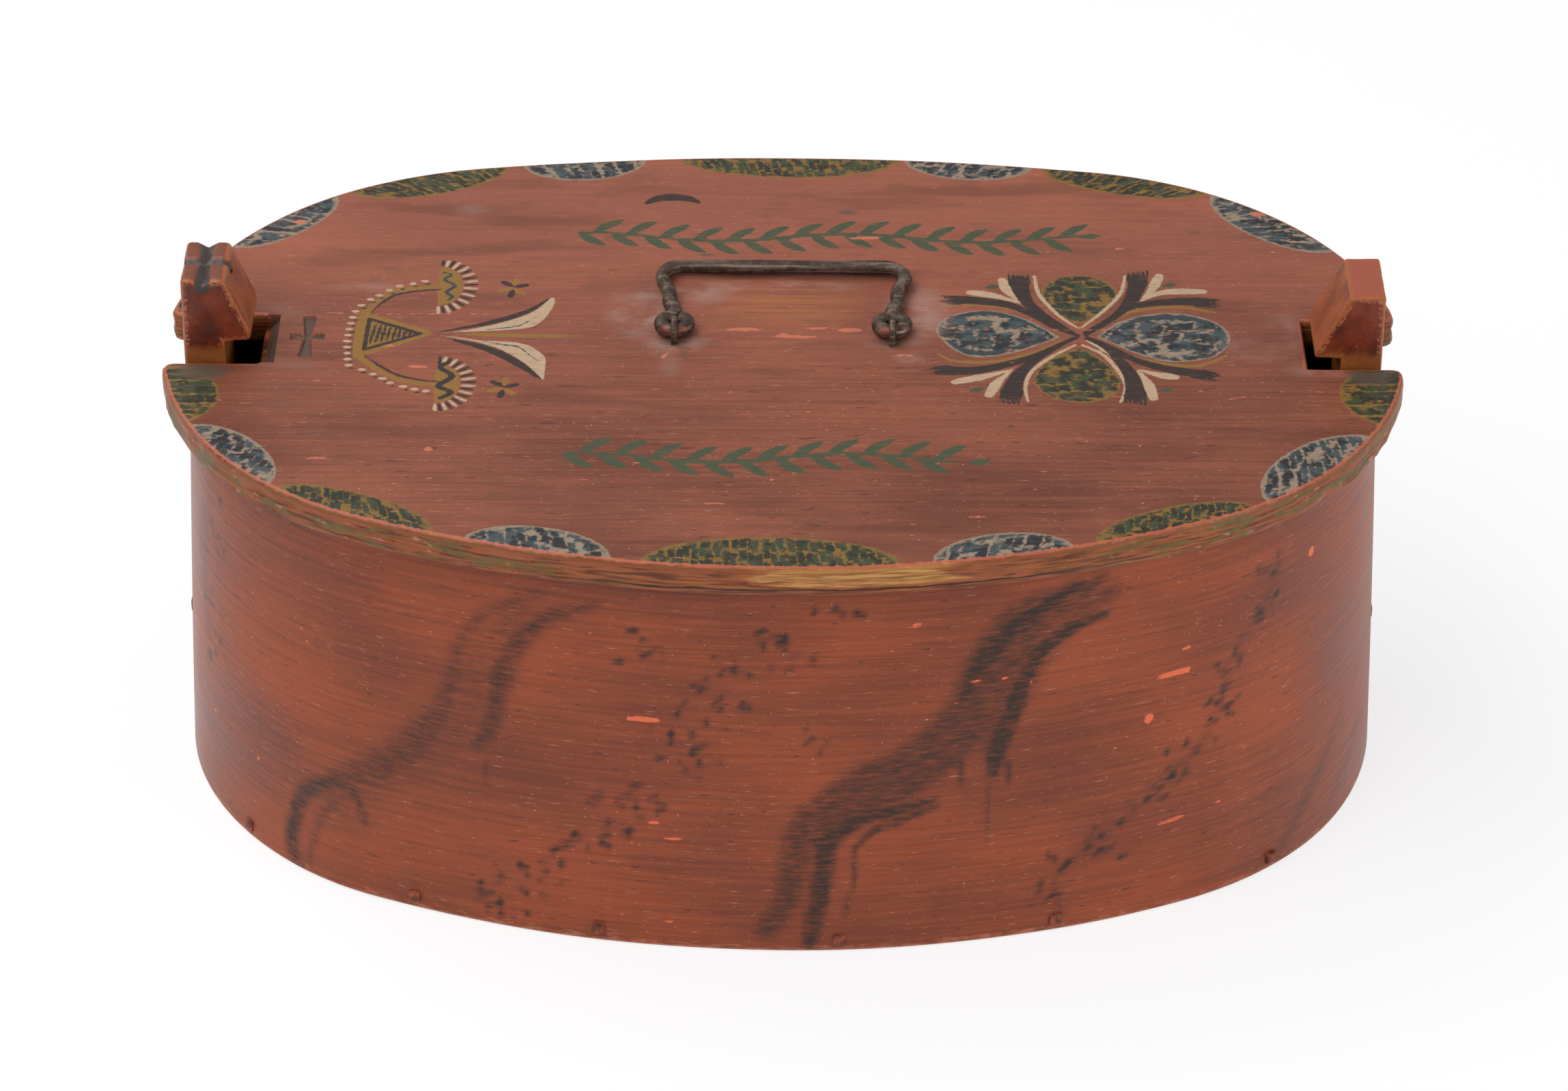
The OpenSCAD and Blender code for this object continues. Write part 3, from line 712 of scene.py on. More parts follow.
def leaf(layer, outline):
    """A painted patch with a smooth closed outline."""
    closed = sweep([*outline, outline[0]], 5)
    low, high = closed.min(0) - 3, closed.max(0) + 3
    near = np.flatnonzero((x > low[0]) & (x < high[0]) & (y > low[1]) & (y < high[1]))
    away = np.full(len(near), 9.0)
    within = np.zeros(len(near), bool)
    for a, b in zip(closed, closed[1:]):
        away = np.minimum(away, beside(x[near], y[near], a, b)[0])
        level = (y[near] - a[1]) / (b[1] - a[1] + 1e-9)
        within ^= ((a[1] > y[near]) != (b[1] > y[near])) & (x[near] < a[0] + level * (b[0] - a[0]))
    layers[layer][near] = np.maximum(layers[layer][near], np.where(within, away, -away))


# Border of half moons: ground, middle along the rim, half length, depth, and how far its dabs lean
for ground, s0, half, depth, slant in (
        ("slate", -179, 21, 13, 0.5), ("olive", -129, 27, 12, 0.7), ("slate", -71, 22, 13, 0.4),
        ("olive", -3, 38, 16.5, 0.1), ("slate", 64, 21, 12.5, -0.5), ("olive", 117, 26, 11.5, -0.5),
        ("slate", 172, 25, 16, -0.9), ("slate", -333, 23, 12.5, 0.6), ("olive", -387, 27, 14.5, 0.7),
        ("slate", -438, 20, 13, 0.3), ("olive", 500, 36, 14, 0.2), ("slate", 443, 21, 12, -0.4),
        ("olive", 392, 28, 13.5, -0.6), ("slate", 337, 26, 15, -0.7), ("olive", -219, 17, 15, 0),
        ("olive", 222, 18, 18, 0), ("olive", -285, 16, 13, 0)):
    s = (rim_s - s0 + half_rim) % (2 * half_rim) - half_rim
    moon = (1 - np.hypot(s / half, np.maximum(rim_d, 0) / depth)) * depth * 0.8
    layers[ground] = np.maximum(layers[ground], np.where(np.abs(s) < half + 9, moon, -9))
    dabbed = (moon > -2) & (fall < 1)
    if slant:
        narrowed = 1.35 if ground == "olive" else 1.0
        brush[dabbed] = np.stack([(s + slant * rim_d) * narrowed + s0, rim_d], 1)[dabbed]
    else:
        brush[dabbed] = np.stack([0.2 * x, 2.1 * y], 1)[dabbed]

# Rosette: two blue petals and two olive ones, cream and ochre outlines, dark sprays and pale leaves. Each
# petal has its ground, its base and tip, how its dabs are stretched along and across, and its outline
petals = (
    ("slate", (84, 8.5), (47, 11), (0.55, 0.95), [
        (84, 8.5), (76.5, 17), (68.5, 22.5), (60.5, 24), (52.5, 22), (48, 17.5), (46.5, 13), (47, 9),
        (50.5, 2), (56, -3), (61.5, -3.5), (69.5, -1), (77.5, 4)]),
    ("slate", (95, 8.5), (135.5, 9), (0.55, 0.95), [
        (95, 8.5), (101, 16.5), (108.5, 21), (116.5, 23), (124.5, 22), (132, 17.5), (135.5, 10.5),
        (134.5, 3.5), (129.5, -3), (121, -5.5), (113.5, -5), (106, -0.5), (99.5, 5)]),
    ("olive", (90, 16.5), (90.5, 45.5), (0.9, 1.05), [
        (90, 16.5), (96.5, 22), (102, 31), (101.5, 39), (96, 44.5), (90.5, 45.5), (84, 43.5),
        (79.5, 37.5), (80, 31), (84, 21.5)]),
    ("olive", (89.5, 2.5), (89, -29.5), (0.9, 1.05), [
        (89.5, 2.5), (95.5, -3.5), (100.5, -13.5), (100.5, -21), (96.5, -27), (89, -29.5), (81, -27),
        (76, -21), (75.5, -13.5), (80.5, -4.5)]))
for ground, base, end, (long, across), outline in petals:
    leaf(ground, outline)
    run = np.subtract(end, base) / math.dist(end, base)
    far_x, far_y = x - base[0], y - base[1]
    way_along = far_x * run[0] + far_y * run[1]
    way_across = far_y * run[0] - far_x * run[1]
    there = (np.abs(far_x) < 50) & (np.abs(far_y) < 40) & (way_along > -3)
    there &= (layers[ground] > -1) & (fall < 0.1)
    brush[there] = np.stack([way_along * long, way_across * across], 1)[there]
for points in ([(77.5, 45), (78.5, 34), (84, 21.5), (89.5, 14)],
               [(105.5, 45.5), (103.5, 34.5), (97.5, 23.5), (90.5, 14)],
               [(88.5, 4), (80.5, -3.5), (74.5, -12), (72.5, -21), (73, -29)],
               [(90.5, 4), (96.5, -1.5), (100.5, -10.5), (102.5, -19.5), (100.5, -29)]):
    line("pale", points, 1.0, 1.5, 1.4, 0.9)
line("pale", [(92, 6.5), (97.5, 1), (101.5, -6)], 0.8, 2.2, 1.0)
for points in ([(49, 27.5), (61, 27.5), (72.5, 24), (82.5, 16), (88, 11)],
               [(93.5, 10.5), (100.5, 19), (108.5, 24.5), (120.5, 26.5), (132, 23.5)],
               [(46.5, -1.5), (52, -6), (64, -6), (76, -0.5), (85, 6.5)],
               [(95, 6.5), (103.5, -1.5), (115, -7), (126, -7.5), (134, -1.5)]):
    line("ochre", points, 0.9, 1.8, 1.7, 1.2)
sprays = ([(49.5, 30.5), (59.5, 30), (69, 27.5), (76.5, 21.5), (82.5, 14.5), (89.5, 9.5)],
          [(72.5, 45), (73, 37), (75, 28.5), (80, 21), (88, 11)],
          [(132, 29), (123.5, 30), (114.5, 29), (105.5, 26), (99, 18.5), (91.5, 11)],
          [(109.5, 47), (108.5, 37.5), (105.5, 28), (99.5, 18.5), (92, 10)],
          [(45, -11), (56, -11.5), (64.5, -9), (75.5, -3), (82.5, 3), (89, 8.5)],
          [(67.5, -28.5), (69, -19.5), (71.5, -12), (77.5, -3), (88, 8)],
          [(129.5, -14), (121, -11.5), (112.5, -8.5), (105.5, -4), (98, 3.5), (92, 8.5)],
          [(105, -29.5), (105, -19), (103.5, -10.5), (98, 2), (92, 8)])
for k, points in enumerate(sprays):
    wide = 5.0 if k % 2 == 0 else 6.4
    tip, back = np.array(points[0]), np.array(points[1])
    line("ink", [tip + 0.45 * (back - tip), *points[1:]], wide, wide * 0.86, wide * 0.66, 2.4, 1.6)
    # Bristles split the outer end
    turn = math.atan2(*(tip - back)[::-1])
    root = tip + 0.25 * (back - tip)
    for part in np.linspace(-0.45, 0.45, 6) * wide:
        px, py = root + part * np.array([-math.sin(turn), math.cos(turn)])
        touch("ink", px, py, math.degrees(turn), 6.5 + 2.2 * math.sin(5 * part + k), 1.3, 1.0, 0.7)
for points in ([(73, 28.5), (65, 33), (57.5, 35)], [(73, 29.5), (69, 35.5), (67.5, 42.5)],
               [(109.5, 30), (117, 35.5), (129, 36)], [(110, 31.5), (113.5, 37.5), (116, 45.5)],
               [(69, -10.5), (61, -14.5), (51.5, -18)], [(68.5, -11.5), (64.5, -17.5), (61.5, -25.5)],
               [(106.5, -10), (112.5, -13), (117.5, -14.5)], [(106.5, -11), (109, -17), (110.5, -26.5)]):
    line("pale", points, 0.7, 2.0, 3.8, 2.8)
for px, py in ((64.5, 38.5), (119, 40), (58, -22.5), (114.5, -21.5)):
    touch("green", px, py, 15, 4, 1.4, 2.8, 1.0)
# Sweeping inner lines of the blue petals
for points in ([(51, 18), (56, 21.5), (63, 22.5), (71, 19.5), (79, 12)],
               [(50, 6), (54, 1), (61, -1.5), (70, 2), (79, 6.5)],
               [(101, 12.5), (108, 18.5), (117, 20.5), (126, 19), (132, 13)]):
    line("blue", points, 1.0, 2.2, 2.4, 1.8, 0.8)
line("pale", [(103, 12), (109.5, 16.5), (118, 18), (127, 15.5)], 0.3, 0.9, 0.9, 0.3)

# Flower spray at the left: a hatched wedge with two curved stems, fans with dashes, and two pale feathers
line("ochre", [(-127.5, 20.5), (-128, 8.5), (-128, -4.5)], 4.0)
line("ochre", [(-127.5, 20), (-107.5, 9)], 2.2)
line("ochre", [(-128, -4.5), (-107.5, 8.5)], 2.2)
leaf("ochre", [(-127, 18.5), (-120, 15), (-109, 8.5), (-120, 2.5), (-127.5, -2.5), (-127.5, 8)])
for a, b in (((-126, 17), (-110, 8.5)), ((-110, 8.5), (-126.5, -1)), ((-126.5, -1), (-126, 17))):
    stroke(layers["ink"], x, y, [a, b], [1.5])
for k in range(9):
    touch("ink", -124.4 + 1.6 * k, 8.4, 84, 11.5 * (1 - k / 9.5), 0.8, 1.1, 0.8)
for points, below in (([(-127, 21.5), (-124.5, 27), (-120.5, 32.5), (-115, 35), (-106, 36.5)], -1.9),
                      ([(-127.5, -5.5), (-123, -11), (-117.5, -16.5), (-111.5, -19.5), (-104, -21)], 1.9)):
    line("ochre", points, 2.1, 2.2, 2.2)
    line("ink", [(px + 0.9, py + below) for px, py in points], 0.5, 1.1, 1.2, 0.8)
for cx, cy, half in ((-105.7, 36.5, 11.6), (-103.6, -20.4, 10.9)):
    leaf("ochre", [(cx, cy - half), (cx + 4.4, cy - half * 0.8), (cx + 6.9, cy - half * 0.3),
                   (cx + 6.9, cy + half * 0.3), (cx + 4.4, cy + half * 0.8), (cx, cy + half),
                   (cx - 0.6, cy)])
    for k in range(22):
        turn = math.radians(-88 + 176 * k / 21)
        px, py = cx + 9.6 * math.cos(turn), cy + (half + 2.6) * math.sin(turn)
        touch("ink" if k % 2 else "pale", px, py, math.degrees(turn), 4.0, 0.9, 1.4, 1.0)
line("blue", [(-105, 45), (-102.5, 43.5), (-104.5, 40.5), (-101, 37), (-103.5, 33), (-101.5, 30.5),
               (-102.5, 28.5)], 1.0, 1.2, 1.5, 1.1)
line("ink", [(-100.5, -8), (-103, -11), (-99, -16), (-103, -21.5), (-99, -25), (-102, -28.5)],
     1.6, 2.2, 1.8)
dots = [(-129, 25), (-126.5, 28.5), (-124, 31), (-121, 34), (-118, 36.5), (-114, 38),
        (-110.5, 39.5), (-126.5, -12.5), (-123, -15), (-120, -17.5), (-117.5, -20), (-113.5, -22),
        (-110, -23.5), (-106.5, -24.5)]
dots += [(-130.6 - 1.4 * math.sin(math.pi * k / 9), 21.4 - 3.5 * k) for k in range(10)]
for px, py in dots:
    touch("pale", px, py, 0, 1.4, 1.2, 1.7, 1.3)
    touch("ink", px + 1.0, py - 1.75, 0, 1.4, 0.7, 1.0, 0.7)
leaf("pale", [(-107, 8.5), (-98.5, 10), (-92.5, 12), (-86, 15), (-79.5, 19), (-75, 23.5), (-71, 30.5),
              (-70, 27), (-72, 19.5), (-75, 14), (-78, 12), (-86, 10.5), (-96.5, 9.5)])
leaf("pale", [(-107, 8), (-98.5, 6.5), (-91, 4.5), (-83, 4), (-77, 2), (-73.5, -2), (-71.5, -6),
              (-71.5, -15.5), (-72, -18), (-74.5, -13.5), (-78.5, -7.5), (-85.5, -0.5), (-93.5, 4),
              (-101.5, 6.5)])
line("ink", [(-104, 9.5), (-91.5, 14), (-83, 18.5), (-77, 23), (-72, 29.5)], 0.5, 2.2, 2.6, 2.0, 0.7)
line("ink", [(-101.5, 5.5), (-92.5, 1.5), (-85.5, -3), (-78.5, -10), (-72.5, -17.5)],
     0.6, 2.6, 3.4, 3.0, 0.8)
line("blue", [(-92, 10.5), (-85, 12), (-80, 13.5), (-77, 17), (-73, 21)], 0.4, 0.9, 0.7, 0.4)
line("blue", [(-92, 4.5), (-86, 2.5), (-80, 1), (-77, -3), (-73, -8)], 0.4, 0.9, 0.7, 0.4)
line("ochre", [(-97, 8), (-91, 8), (-76, 7.5), (-60, 7.5)], 0.6, 2.2, 2.4, 0.8)
for cx, cy in ((-83, 36), (-83.5, -22.5)):
    for k in range(6):
        turn = math.radians(20 + 60 * k)
        touch("ochre" if k % 2 else "ink", cx + 2.2 * math.cos(turn), cy + 3.2 * math.sin(turn),
              math.degrees(turn), 3.8, 0.9, 2.4, 2.0)

# A lone dark brush mark inside the border at the back
line("ink", [(-43.5, 89), (-40, 92), (-35, 93), (-30, 92), (-26.5, 89.5)], 1.6, 3.8, 4.6, 3.6, 1.4)
# A plain green garland along each long side of the field: a waved stem with leaves to left and right
for middle, start, stop in ((68, -64, 92), (-61, -64, 54)):
    stem = [(at, middle + 2.4 * math.sin(at / 13)) for at in np.arange(start, stop + 1, 5.2)]
    line("green", stem, 1.4, 2.0, 2.0, 1.5)
    for k, (at, level) in enumerate(stem[:-1]):
        way = 1 if k % 2 else -1
        line("green", [(at, level), (at + 3.6, level + 4.4 * way), (at + 8.6, level + 8.2 * way)],
             1.4, 3.6, 3.6, 0.7)
    touch("green", stop + 4, stem[-1][1], 10, 6, 2.0, 3.6, 0.8)

# Orange primer in chips and cracks: place, length, width and turn
for px, py, long, wide, turn in (
        (-12, 12, 14, 2.8, 2), (3, 8, 16, 2.6, -2), (10, 13, 9, 2, 3), (20, 12, 10, 3.4, 0),
        (0, 9.5, 6, 2, 0), (-118.8, 1.4, 7, 1.8, 3), (-110, -10.5, 8, 2.4, -4), (26, 68, 14, 2.4, 4),
        (136, -26, 15, 1.2, 18),
        (-104, -57, 5, 3, 0), (-152, 76, 7, 3.4, 10), (149, 84, 8, 4, -12), (-136, -62, 9, 2, 6),
        (-20, -86, 8, 1.8, 0), (56, -92, 7, 1.8, 0), (104, 62, 6, 1.8, 5), (-36, -4, 6, 2, 60),
        (36, -3, 8, 2.4, 0)):
    touch("chip", px, py, turn, max(long - wide, 0.6), wide * 0.5, wide, wide * 0.6)
line("chip", [(-139.6, 20.7), (-128.9, 19.8), (-99.2, 20), (-78, 19.8)], 0.8, 1.0, 0.8)
line("chip", [(44, 13.2), (70, 12.6), (100, 12.8), (142, 12)], 0.8, 1.0, 0.8)
for name, depths in layers.items():
    keep(mesh, name, np.clip(depths, -3, 9))
spots = np.column_stack([brush, np.zeros(len(co))]) * mm
laid = mesh.attributes.new("brush", "FLOAT_VECTOR", "POINT")
laid.data.foreach_set("vector", spots.astype(np.float32).ravel())


def blots(*spots):
    """Soft round marks: place, half length and half width, and strength."""
    total = np.zeros(len(co))
    for px, py, a, b, much in spots:
        total = np.maximum(total, much * np.clip(1.4 - 1.2 * np.hypot((x - px) / a, (y - py) / b), 0, 1))
    return total


# Dust caught round the bail and on the horns, grime in the cuts and a knot, painted shade round the
# bail's eyes and on the ramp under the left hook, and a hand-worn amber patch
keep(mesh, "dust", blots(
    (-42, 22, 12, 16, 1.0), (-28, 35, 14, 9, 0.8), (-2, 38, 26, 4, 0.9), (41, 22, 11, 17, 0.9),
    (34, 7, 10, 8, 0.7), (-33, 5, 10, 8, 0.9), (-34, -8, 4, 10, 0.3), (37, -6, 6, 6, 0.6),
    (-152, 21, 9, 6, 0.25), (-150, -10, 12, 4, 0.2), (153, 12, 7, 13, 0.5), (163, -10, 12, 5, 0.5),
    (-128, 36, 14, 3, 0.4), (142, 3, 12, 9, 0.35), (-98, 84, 7, 4, 0.4)))
# The two blots at the bail's eyes are painted shade where the eyes lie over the lid; the others are grime
dirt = blots((-174, -14, 11, 7, 0.9), (176, -13, 10, 8, 0.85), (-172, 25, 10, 7, 0.7), (20, 84, 5, 2, 0.8),
             (-24, 57, 4, 1.6, 0.8), (-33, 5, 8, 5, 0.62), (33, 5, 8, 5, 0.62), (-30, -3, 3, 7, 0.5),
             (-137, -48, 6, 2, 0.5), (120, 77, 6, 3, 0.4))
# On the ramp under the left hook the darkening is painted shade; in the cut cross it is grime
keep(mesh, "dirt", np.maximum.reduce([dirt, 0.8 * on_ramp * (fall < 8), cut]))
keep(mesh, "amber", blots((2, 28, 24, 14, 1.0), (-118, 34, 10, 4, 0.6)))
# Depth inside the worn edge, which goes on below zero down the side
keep(mesh, "brink", np.clip(deep - np.maximum(fall - lid_round, 0) * (deep < 2), -9, 9))
keep(mesh, "rags", np.clip(np.abs(rim_s - 15) / 55 - 1, 0, 1))
keep(mesh, "split", np.clip(1.5 - np.abs(rim_s - 22) / 32, 0, 1) * (co[:, 2] > wall_high + 3.4))
facing = np.empty(len(mesh.polygons) * 3, np.float32)
mesh.polygons.foreach_get("normal", facing)
mesh.polygons.foreach_set("material_index", (facing.reshape(-1, 3)[:, 2] < -0.9).astype(np.int32))
finish(mesh, 45)


def figured_paint():
    """Freehand oil paint over red distemper on a pine board: satin, streaked along the grain, with ragged
    brush edges, rubbed flecks, dull dust, grime in the cuts, painted shade round the bail's eyes and on the
    ramp under the left hook, a painted sheen that pales the back of the top, and a worn edge of coral
    primer and brown wood."""
    material, shader, add = new_material("figured red lid paint")
    spot = add("TexCoord", output="Object")
    colour, streak, patch = red_coat(add, spot, "#874b37", "#623425")
    # Painted sheen: the top turns a paler red from the front to the back, standing in for the glossy
    # reflection of the bright surround on the far part of the lid
    painted_back_sheen = add("MapRange", add("SeparateXYZ", spot, output=1), -0.05, 0.1, 0, 0.5)
    colour = add("Mix", painted_back_sheen, colour, "#a05d4a")
    stain = add("MapRange", grain(add, spot, 55, 13, 13, Detail=6.0), 0.52, 0.72, 0, 0.5)
    colour = add("Mix", stain, colour, "#5b3323")
    mottle = grain(add, spot, 13, 7, 7, Detail=5.0, Roughness=0.6)
    colour = add("Mix", add("MapRange", mottle, 0.54, 0.7, 0, 0.4), colour, "#664230")
    ragged = grain(add, spot, 1.9, 1.3, 1.9, Detail=3.0)
    brushed = grain(add, spot, 4, 1.5, 4, Detail=3.0)
    worn = add("MapRange", grain(add, spot, 6, 0.9, 6, Detail=2.0), 0.54, 0.72)
    amber = add("Attribute", attribute_name="amber")
    amber = add("Math", amber, add("MapRange", streak, 0.35, 0.6, 0, 0.6))
    colour = add("Mix", amber, colour, "#9b6236")
    # Dabs: dark upright touches laid along the rim or along a petal, their width and height in millimetres
    dab_wide, dab_tall = 3.2, 6.0
    bend = grain(add, spot, 4, 4, 4, Detail=2.0)
    path = add("Attribute", attribute_name="brush", output="Vector")
    path = add("VectorMath", bend, (0.0035, 0.0035, 0), path, operation="MULTIPLY_ADD")
    path = add("Mapping", Vector=path, Scale=(1000 / dab_wide, 1000 / dab_tall, 1))
    dab = add("TexVoronoi", Vector=path, Scale=1.0, Randomness=0.65, voronoi_dimensions="2D",
              distance="CHEBYCHEV")
    dab = add("MapRange", add("Math", ragged, 0.9, dab), 1.05, 0.79)
    # The figures in the order they were painted: layer, thin and thick colour, raggedness, how much is
    # rubbed off, and for a ground that has dabs, their two colours
    for layer, thin, thick, rough, rubbed, *dabs in (
            ("green", "#4a4e37", "#37402f", 0.9, 0.45), ("ochre", "#8a652d", "#7a5724", 0.9, 0.3),
            ("olive", "#84632c", "#6c5126", 0.9, 0.3, "#272a20", "#3a412d"),
            ("pale", "#a2876d", "#b59c80", 0.8, 0.35),
            ("slate", "#7b6b5d", "#95826d", 0.8, 0.3, "#23272a", "#3d484b"),
            ("ink", "#3a2d28", "#29211f", 0.7, 0.25), ("blue", "#3a4547", "#292f32", 0.8, 0.25)):
        depth = add("Math", ragged, rough, add("Attribute", attribute_name=layer))
        mask = add("MapRange", depth, rough / 2 - 0.12, rough / 2 + 0.22)
        mask = add("Math", mask, add("Math", worn, -rubbed, 1.0))
        paint = add("Mix", brushed, thin, thick)
        if dabs:
            inner = add("Math", dab, add("MapRange", add("Math", brushed, 2.4, depth), 1.8, 2.8))
            paint = add("Mix", inner, paint, add("Mix", add("MapRange", bend, 0.42, 0.62), *dabs))
        colour = add("Mix", mask, colour, paint)
    chip = add("Math", ragged, 1.6, add("Attribute", attribute_name="chip"))
    lost = add("MapRange", chip, 0.9, 1.2, 0, 0.85)
    flake = add("MapRange", grain(add, spot, 5, 1.8, 5, Detail=2.0), 0.75, 0.78)
    lost = add("Math", lost, flake, operation="MAXIMUM")
    colour = add("Mix", lost, colour, "#b9694e")
    dust = add("Attribute", attribute_name="dust")
    haze = add("Math", dust, add("MapRange", mottle, 0.36, 0.64, 0.05, 0.8))
    colour = add("Mix", haze, colour, "#9c7c70")
    # Darker and greyer: grime in the cuts and a knot, and painted shade round the bail's eyes and on the
    # ramp under the left hook
    dirt = add("Math", ragged, 0.5, add("Attribute", attribute_name="dirt"))
    dirt = add("MapRange", dirt, 0.45, 1.1, 0, 0.9)
    colour = add("Mix", dirt, colour, "#52463c")
    # The side: brown wood with dark grain, rags of green and pink paint, and in front bare pine and a crack
    side_path = add("Attribute", attribute_name="brush", output="Vector")
    fibre = grain(add, side_path, 15, 0.9, 1, Detail=5.0)
    rag = grain(add, side_path, 13, 3.2, 1, Detail=5.0)
    rag_two = grain(add, side_path, 5, 2.2, 1, Detail=4.0)
    wood = add("Mix", add("MapRange", fibre, 0.36, 0.62), "#592c18", "#8f5029")
    rags = add("Attribute", attribute_name="rags")
    wood = add("Mix", add("MapRange", rag, 0.56, 0.62, 0, 0.7), wood, "#8f4b2f")
    green_rag = add("Math", add("MapRange", rag, 0.49, 0.43, 0, 0.9), rags)
    wood = add("Mix", green_rag, wood, add("Mix", brushed, "#3d4029", "#7a5f2d"))
    wood = add("Mix", add("Math", add("MapRange", rag_two, 0.62, 0.68, 0, 0.6), rags), wood, "#b07c5c")
    pine = add("Mix", add("MapRange", fibre, 0.4, 0.6), "#85562b", "#b5834a")
    split = add("Math", rag, 1.2, add("Attribute", attribute_name="split"))
    wood = add("Mix", add("MapRange", split, 1.15, 1.4, 0, 0.95), wood, pine)
    height = add("Math", rag, 0.002, add("SeparateXYZ", spot, output=2))
    crack = add("Math", height, (wall_high + 3.2) * mm, 0.0003, operation="COMPARE")
    wood = add("Mix", add("Math", crack, add("Math", rags, -0.9, 0.9)), wood, "#2b1a10")
    brink = add("Math", ragged, -1.4, add("Attribute", attribute_name="brink"))
    colour = add("Mix", add("MapRange", brink, 0.9, 0.5, 0, 0.8), colour, "#b05c42")
    colour = add("Mix", add("MapRange", brink, 0.05, -0.5), colour, wood)
    relief = add("Bump", Height=add("Math", lost, -0.8, streak), Strength=0.4, Distance=0.0005)
    fill(shader, {"Base Color": colour, "Roughness": add("MapRange", patch, 0.3, 0.7, 0.4, 0.56),
                  "Specular IOR Level": 0.27, "Normal": relief})
    return material


place(mesh, "painted_lid", [figured_paint(), old_pine("old lid pine")], "lid", "lid_wood", "lid_board")


# Bail and staples
# A forged iron bail lies back on the lid. Each end is bent into an eye, held by a wire staple driven
# through the board and clinched under it. The iron is black-brown, rubbed grey along the bar, with red
# paint on the eyes.
wire_r, eye_x, eye_r, bend_r = 2.3, 33.0, 3.95, 6.0
bail_low, bail_high = (np.array(corner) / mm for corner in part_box("bail_handle"))
axis_y = bail_low[1] + wire_r
axis_z = bail_low[2] + wire_r
bar_y = bail_high[1] - wire_r
corner_x = bail_high[0] - wire_r - bend_r


def forged_iron(name, red):
    """Hand-forged iron, oiled and aged: almost black brown with lengthways grey rubbing, dull where the
    scale is left and brighter where hands polished it. Red is how much lid paint is left on it."""
    material, shader, add = new_material(name)
    spot = add("TexCoord", output="Object")
    drawn = grain(add, spot, 24, 2.4, 1.1, Detail=4.0, Roughness=0.6)
    scale = grain(add, spot, 3, 3, 3, Detail=5.0, Roughness=0.65)
    colour = add("Mix", add("MapRange", scale, 0.35, 0.7), "#33251d", "#574438")
    colour = add("Mix", add("MapRange", drawn, 0.5, 0.66, 0, 0.8), colour, "#83705f")
    front = add("SeparateXYZ", spot, output=1)
    front = add("MapRange", front, (axis_y + 1.5) * mm, (axis_y - 1.5) * mm, 0, red)
    colour = add("Mix", add("Math", front, add("MapRange", scale, 0.48, 0.56)), colour, "#8f3f27")
    relief = add("Bump", Height=scale, Strength=0.5, Distance=0.0006)
    gloss = add("MapRange", drawn, 0.4, 0.65, 0.56, 0.36)
    fill(shader, {"Base Color": colour, "Metallic": 0.45, "Roughness": gloss, "Normal": relief})
    return material


half_wire = [(eye_x - eye_r * math.sin(a), axis_y + eye_r + eye_r * math.cos(a))
             for a in np.radians(np.arange(32, 351, 12))]
leg_foot = np.array([eye_x, axis_y + 2 * eye_r + 2])
leg_top = np.array([corner_x + bend_r, bar_y - bend_r - 1])
half_wire += [tuple(leg_foot + (leg_top - leg_foot) * share + (0.5 * math.sin(7 * share), 0))
              for share in (0, 0.3, 0.6, 1)]
half_wire += [(corner_x + bend_r * math.cos(a), bar_y - bend_r + bend_r * math.sin(a))
              for a in np.radians((18, 36, 54, 72, 90))]
half_wire += [(corner_x - 8, bar_y), (corner_x - 16, bar_y), (6, bar_y)]
wire = half_wire + [(-px, py) for px, py in half_wire[::-1]]
route = bpy.data.curves.new("forged_bail", "CURVE")
route.dimensions = "3D"
route.bevel_depth = wire_r * mm
route.bevel_resolution = 5
route.resolution_u = 4
route.use_fill_caps = True
spline = route.splines.new("BEZIER")
spline.bezier_points.add(len(wire) - 1)
for k, (point, (px, py)) in enumerate(zip(spline.bezier_points, wire)):
    point.co = (px * mm, py * mm, axis_z * mm)
    point.handle_left_type = point.handle_right_type = "AUTO"
    point.radius = 1.0 if py < axis_y + 9 else 0.95 + 0.05 * math.sin(1.3 * k)
shape = bpy.data.objects.new("forged_bail_route", route)
bpy.context.scene.collection.objects.link(shape)
bpy.context.view_layer.update()
mesh = bpy.data.meshes.new_from_object(shape.evaluated_get(bpy.context.evaluated_depsgraph_get()))
bpy.data.objects.remove(shape)
mesh.name = "forged_bail"
mesh.materials.clear()
mesh.shade_smooth()
place(mesh, "forged_bail", [forged_iron("forged iron", 0.5)], "bail", "iron", "bail_handle")
staple_iron = forged_iron("forged staple iron", 0.0)
for side in ("left", "right"):
    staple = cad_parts[side + "_staple"]
    staple.data.materials.clear()
    staple.data.materials.append(staple_iron)


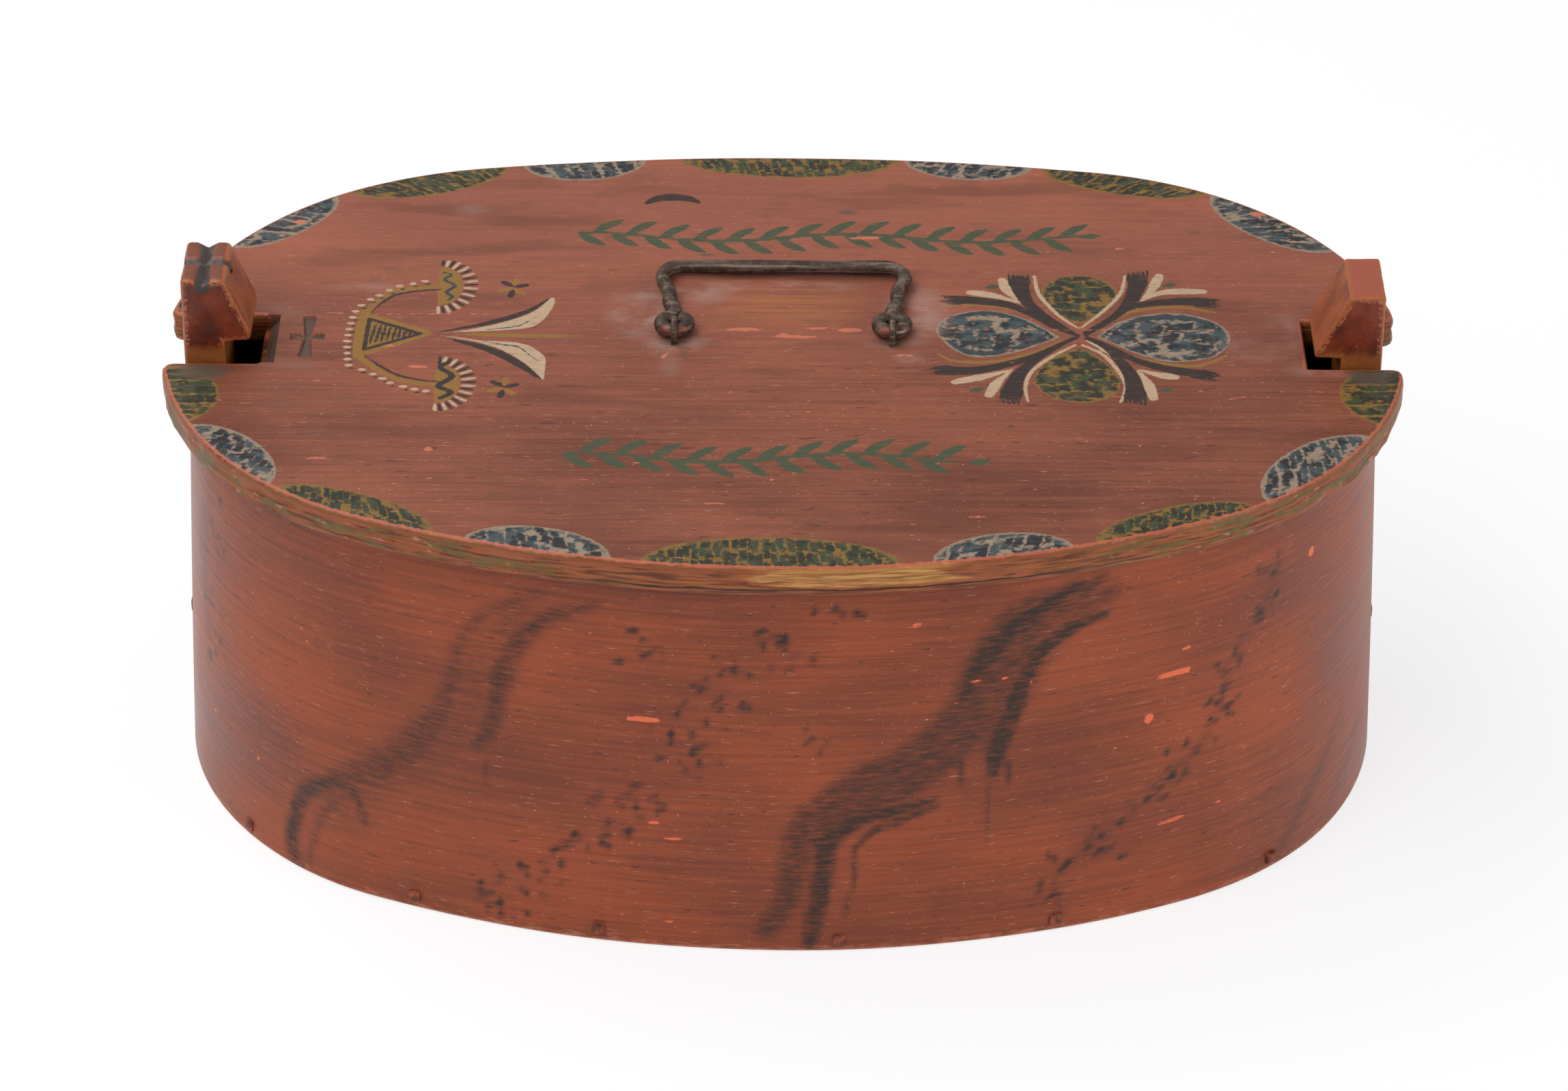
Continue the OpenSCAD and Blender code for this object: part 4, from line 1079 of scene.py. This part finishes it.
# Studio
# A white floor that keeps the soft shadow, a large soft lamp overhead at the left, weaker ones at the
# right and behind, and an even white surround. The camera stands in front and above, with a long lens.
bm = bmesh.new()
bmesh.ops.create_grid(bm, x_segments=2, y_segments=2, size=4.0)
mesh = steady_mesh(bm, "floor")
floor = bpy.data.objects.new("floor", mesh)
bpy.context.scene.collection.objects.link(floor)
floor.location.z = -0.0002
material, shader, add = new_material("white paper sweep")
straight = add("LightPath", output="Is Camera Ray")
seen = add("Math", straight, add("LightPath", output="Is Glossy Ray"), operation="MAXIMUM")
paper = add("BsdfDiffuse", Color="#f7f6f6")
white = add("Emission", Color="#ffffff", Strength=1.0)
both = add("MixShader", add("Math", seen, 0.72), paper, white)
fill(material.node_tree.nodes["Material Output"], {"Surface": both})
mesh.materials.append(material)

world = bpy.data.worlds.new("white surround")
bpy.context.scene.world = world
world.use_nodes = True
seen = node(world.node_tree, "LightPath", output="Is Camera Ray")
strength = node(world.node_tree, "Math", seen, 0.58, 0.42)
fill(world.node_tree.nodes["Background"], {"Color": "#ffffff", "Strength": strength})


def soft_lamp(name, spot, size, watts):
    """A square soft box that faces the middle of the box."""
    lamp = bpy.data.lights.new(name, "AREA")
    lamp.energy = watts
    lamp.size = size
    made = bpy.data.objects.new(name, lamp)
    made.location = spot
    made.rotation_euler = (Vector((0, 0, 0.08)) - Vector(spot)).to_track_quat("-Z", "Y").to_euler()
    bpy.context.scene.collection.objects.link(made)


soft_lamp("overhead_left", (-1.0, -0.9, 1.8), 1.6, 27)
soft_lamp("right_fill", (1.8, -1.0, 0.85), 1.0, 19)
soft_lamp("back_left", (-0.7, 0.5, 1.4), 0.9, 10)

camera = bpy.data.cameras.new("camera")
camera.sensor_width = 36.0
camera.lens = 125.4
eye = bpy.data.objects.new("camera", camera)
pitch, roll = 0.58, 0.0055
stand = Matrix.Translation((0.0006, -1.4119, 0.9931))
eye.matrix_world = stand @ Matrix.Rotation(math.pi / 2 - pitch, 4, "X") @ Matrix.Rotation(roll, 4, "Z")
bpy.context.scene.collection.objects.link(eye)
bpy.context.scene.camera = eye
bpy.context.scene.view_settings.view_transform = "Standard"
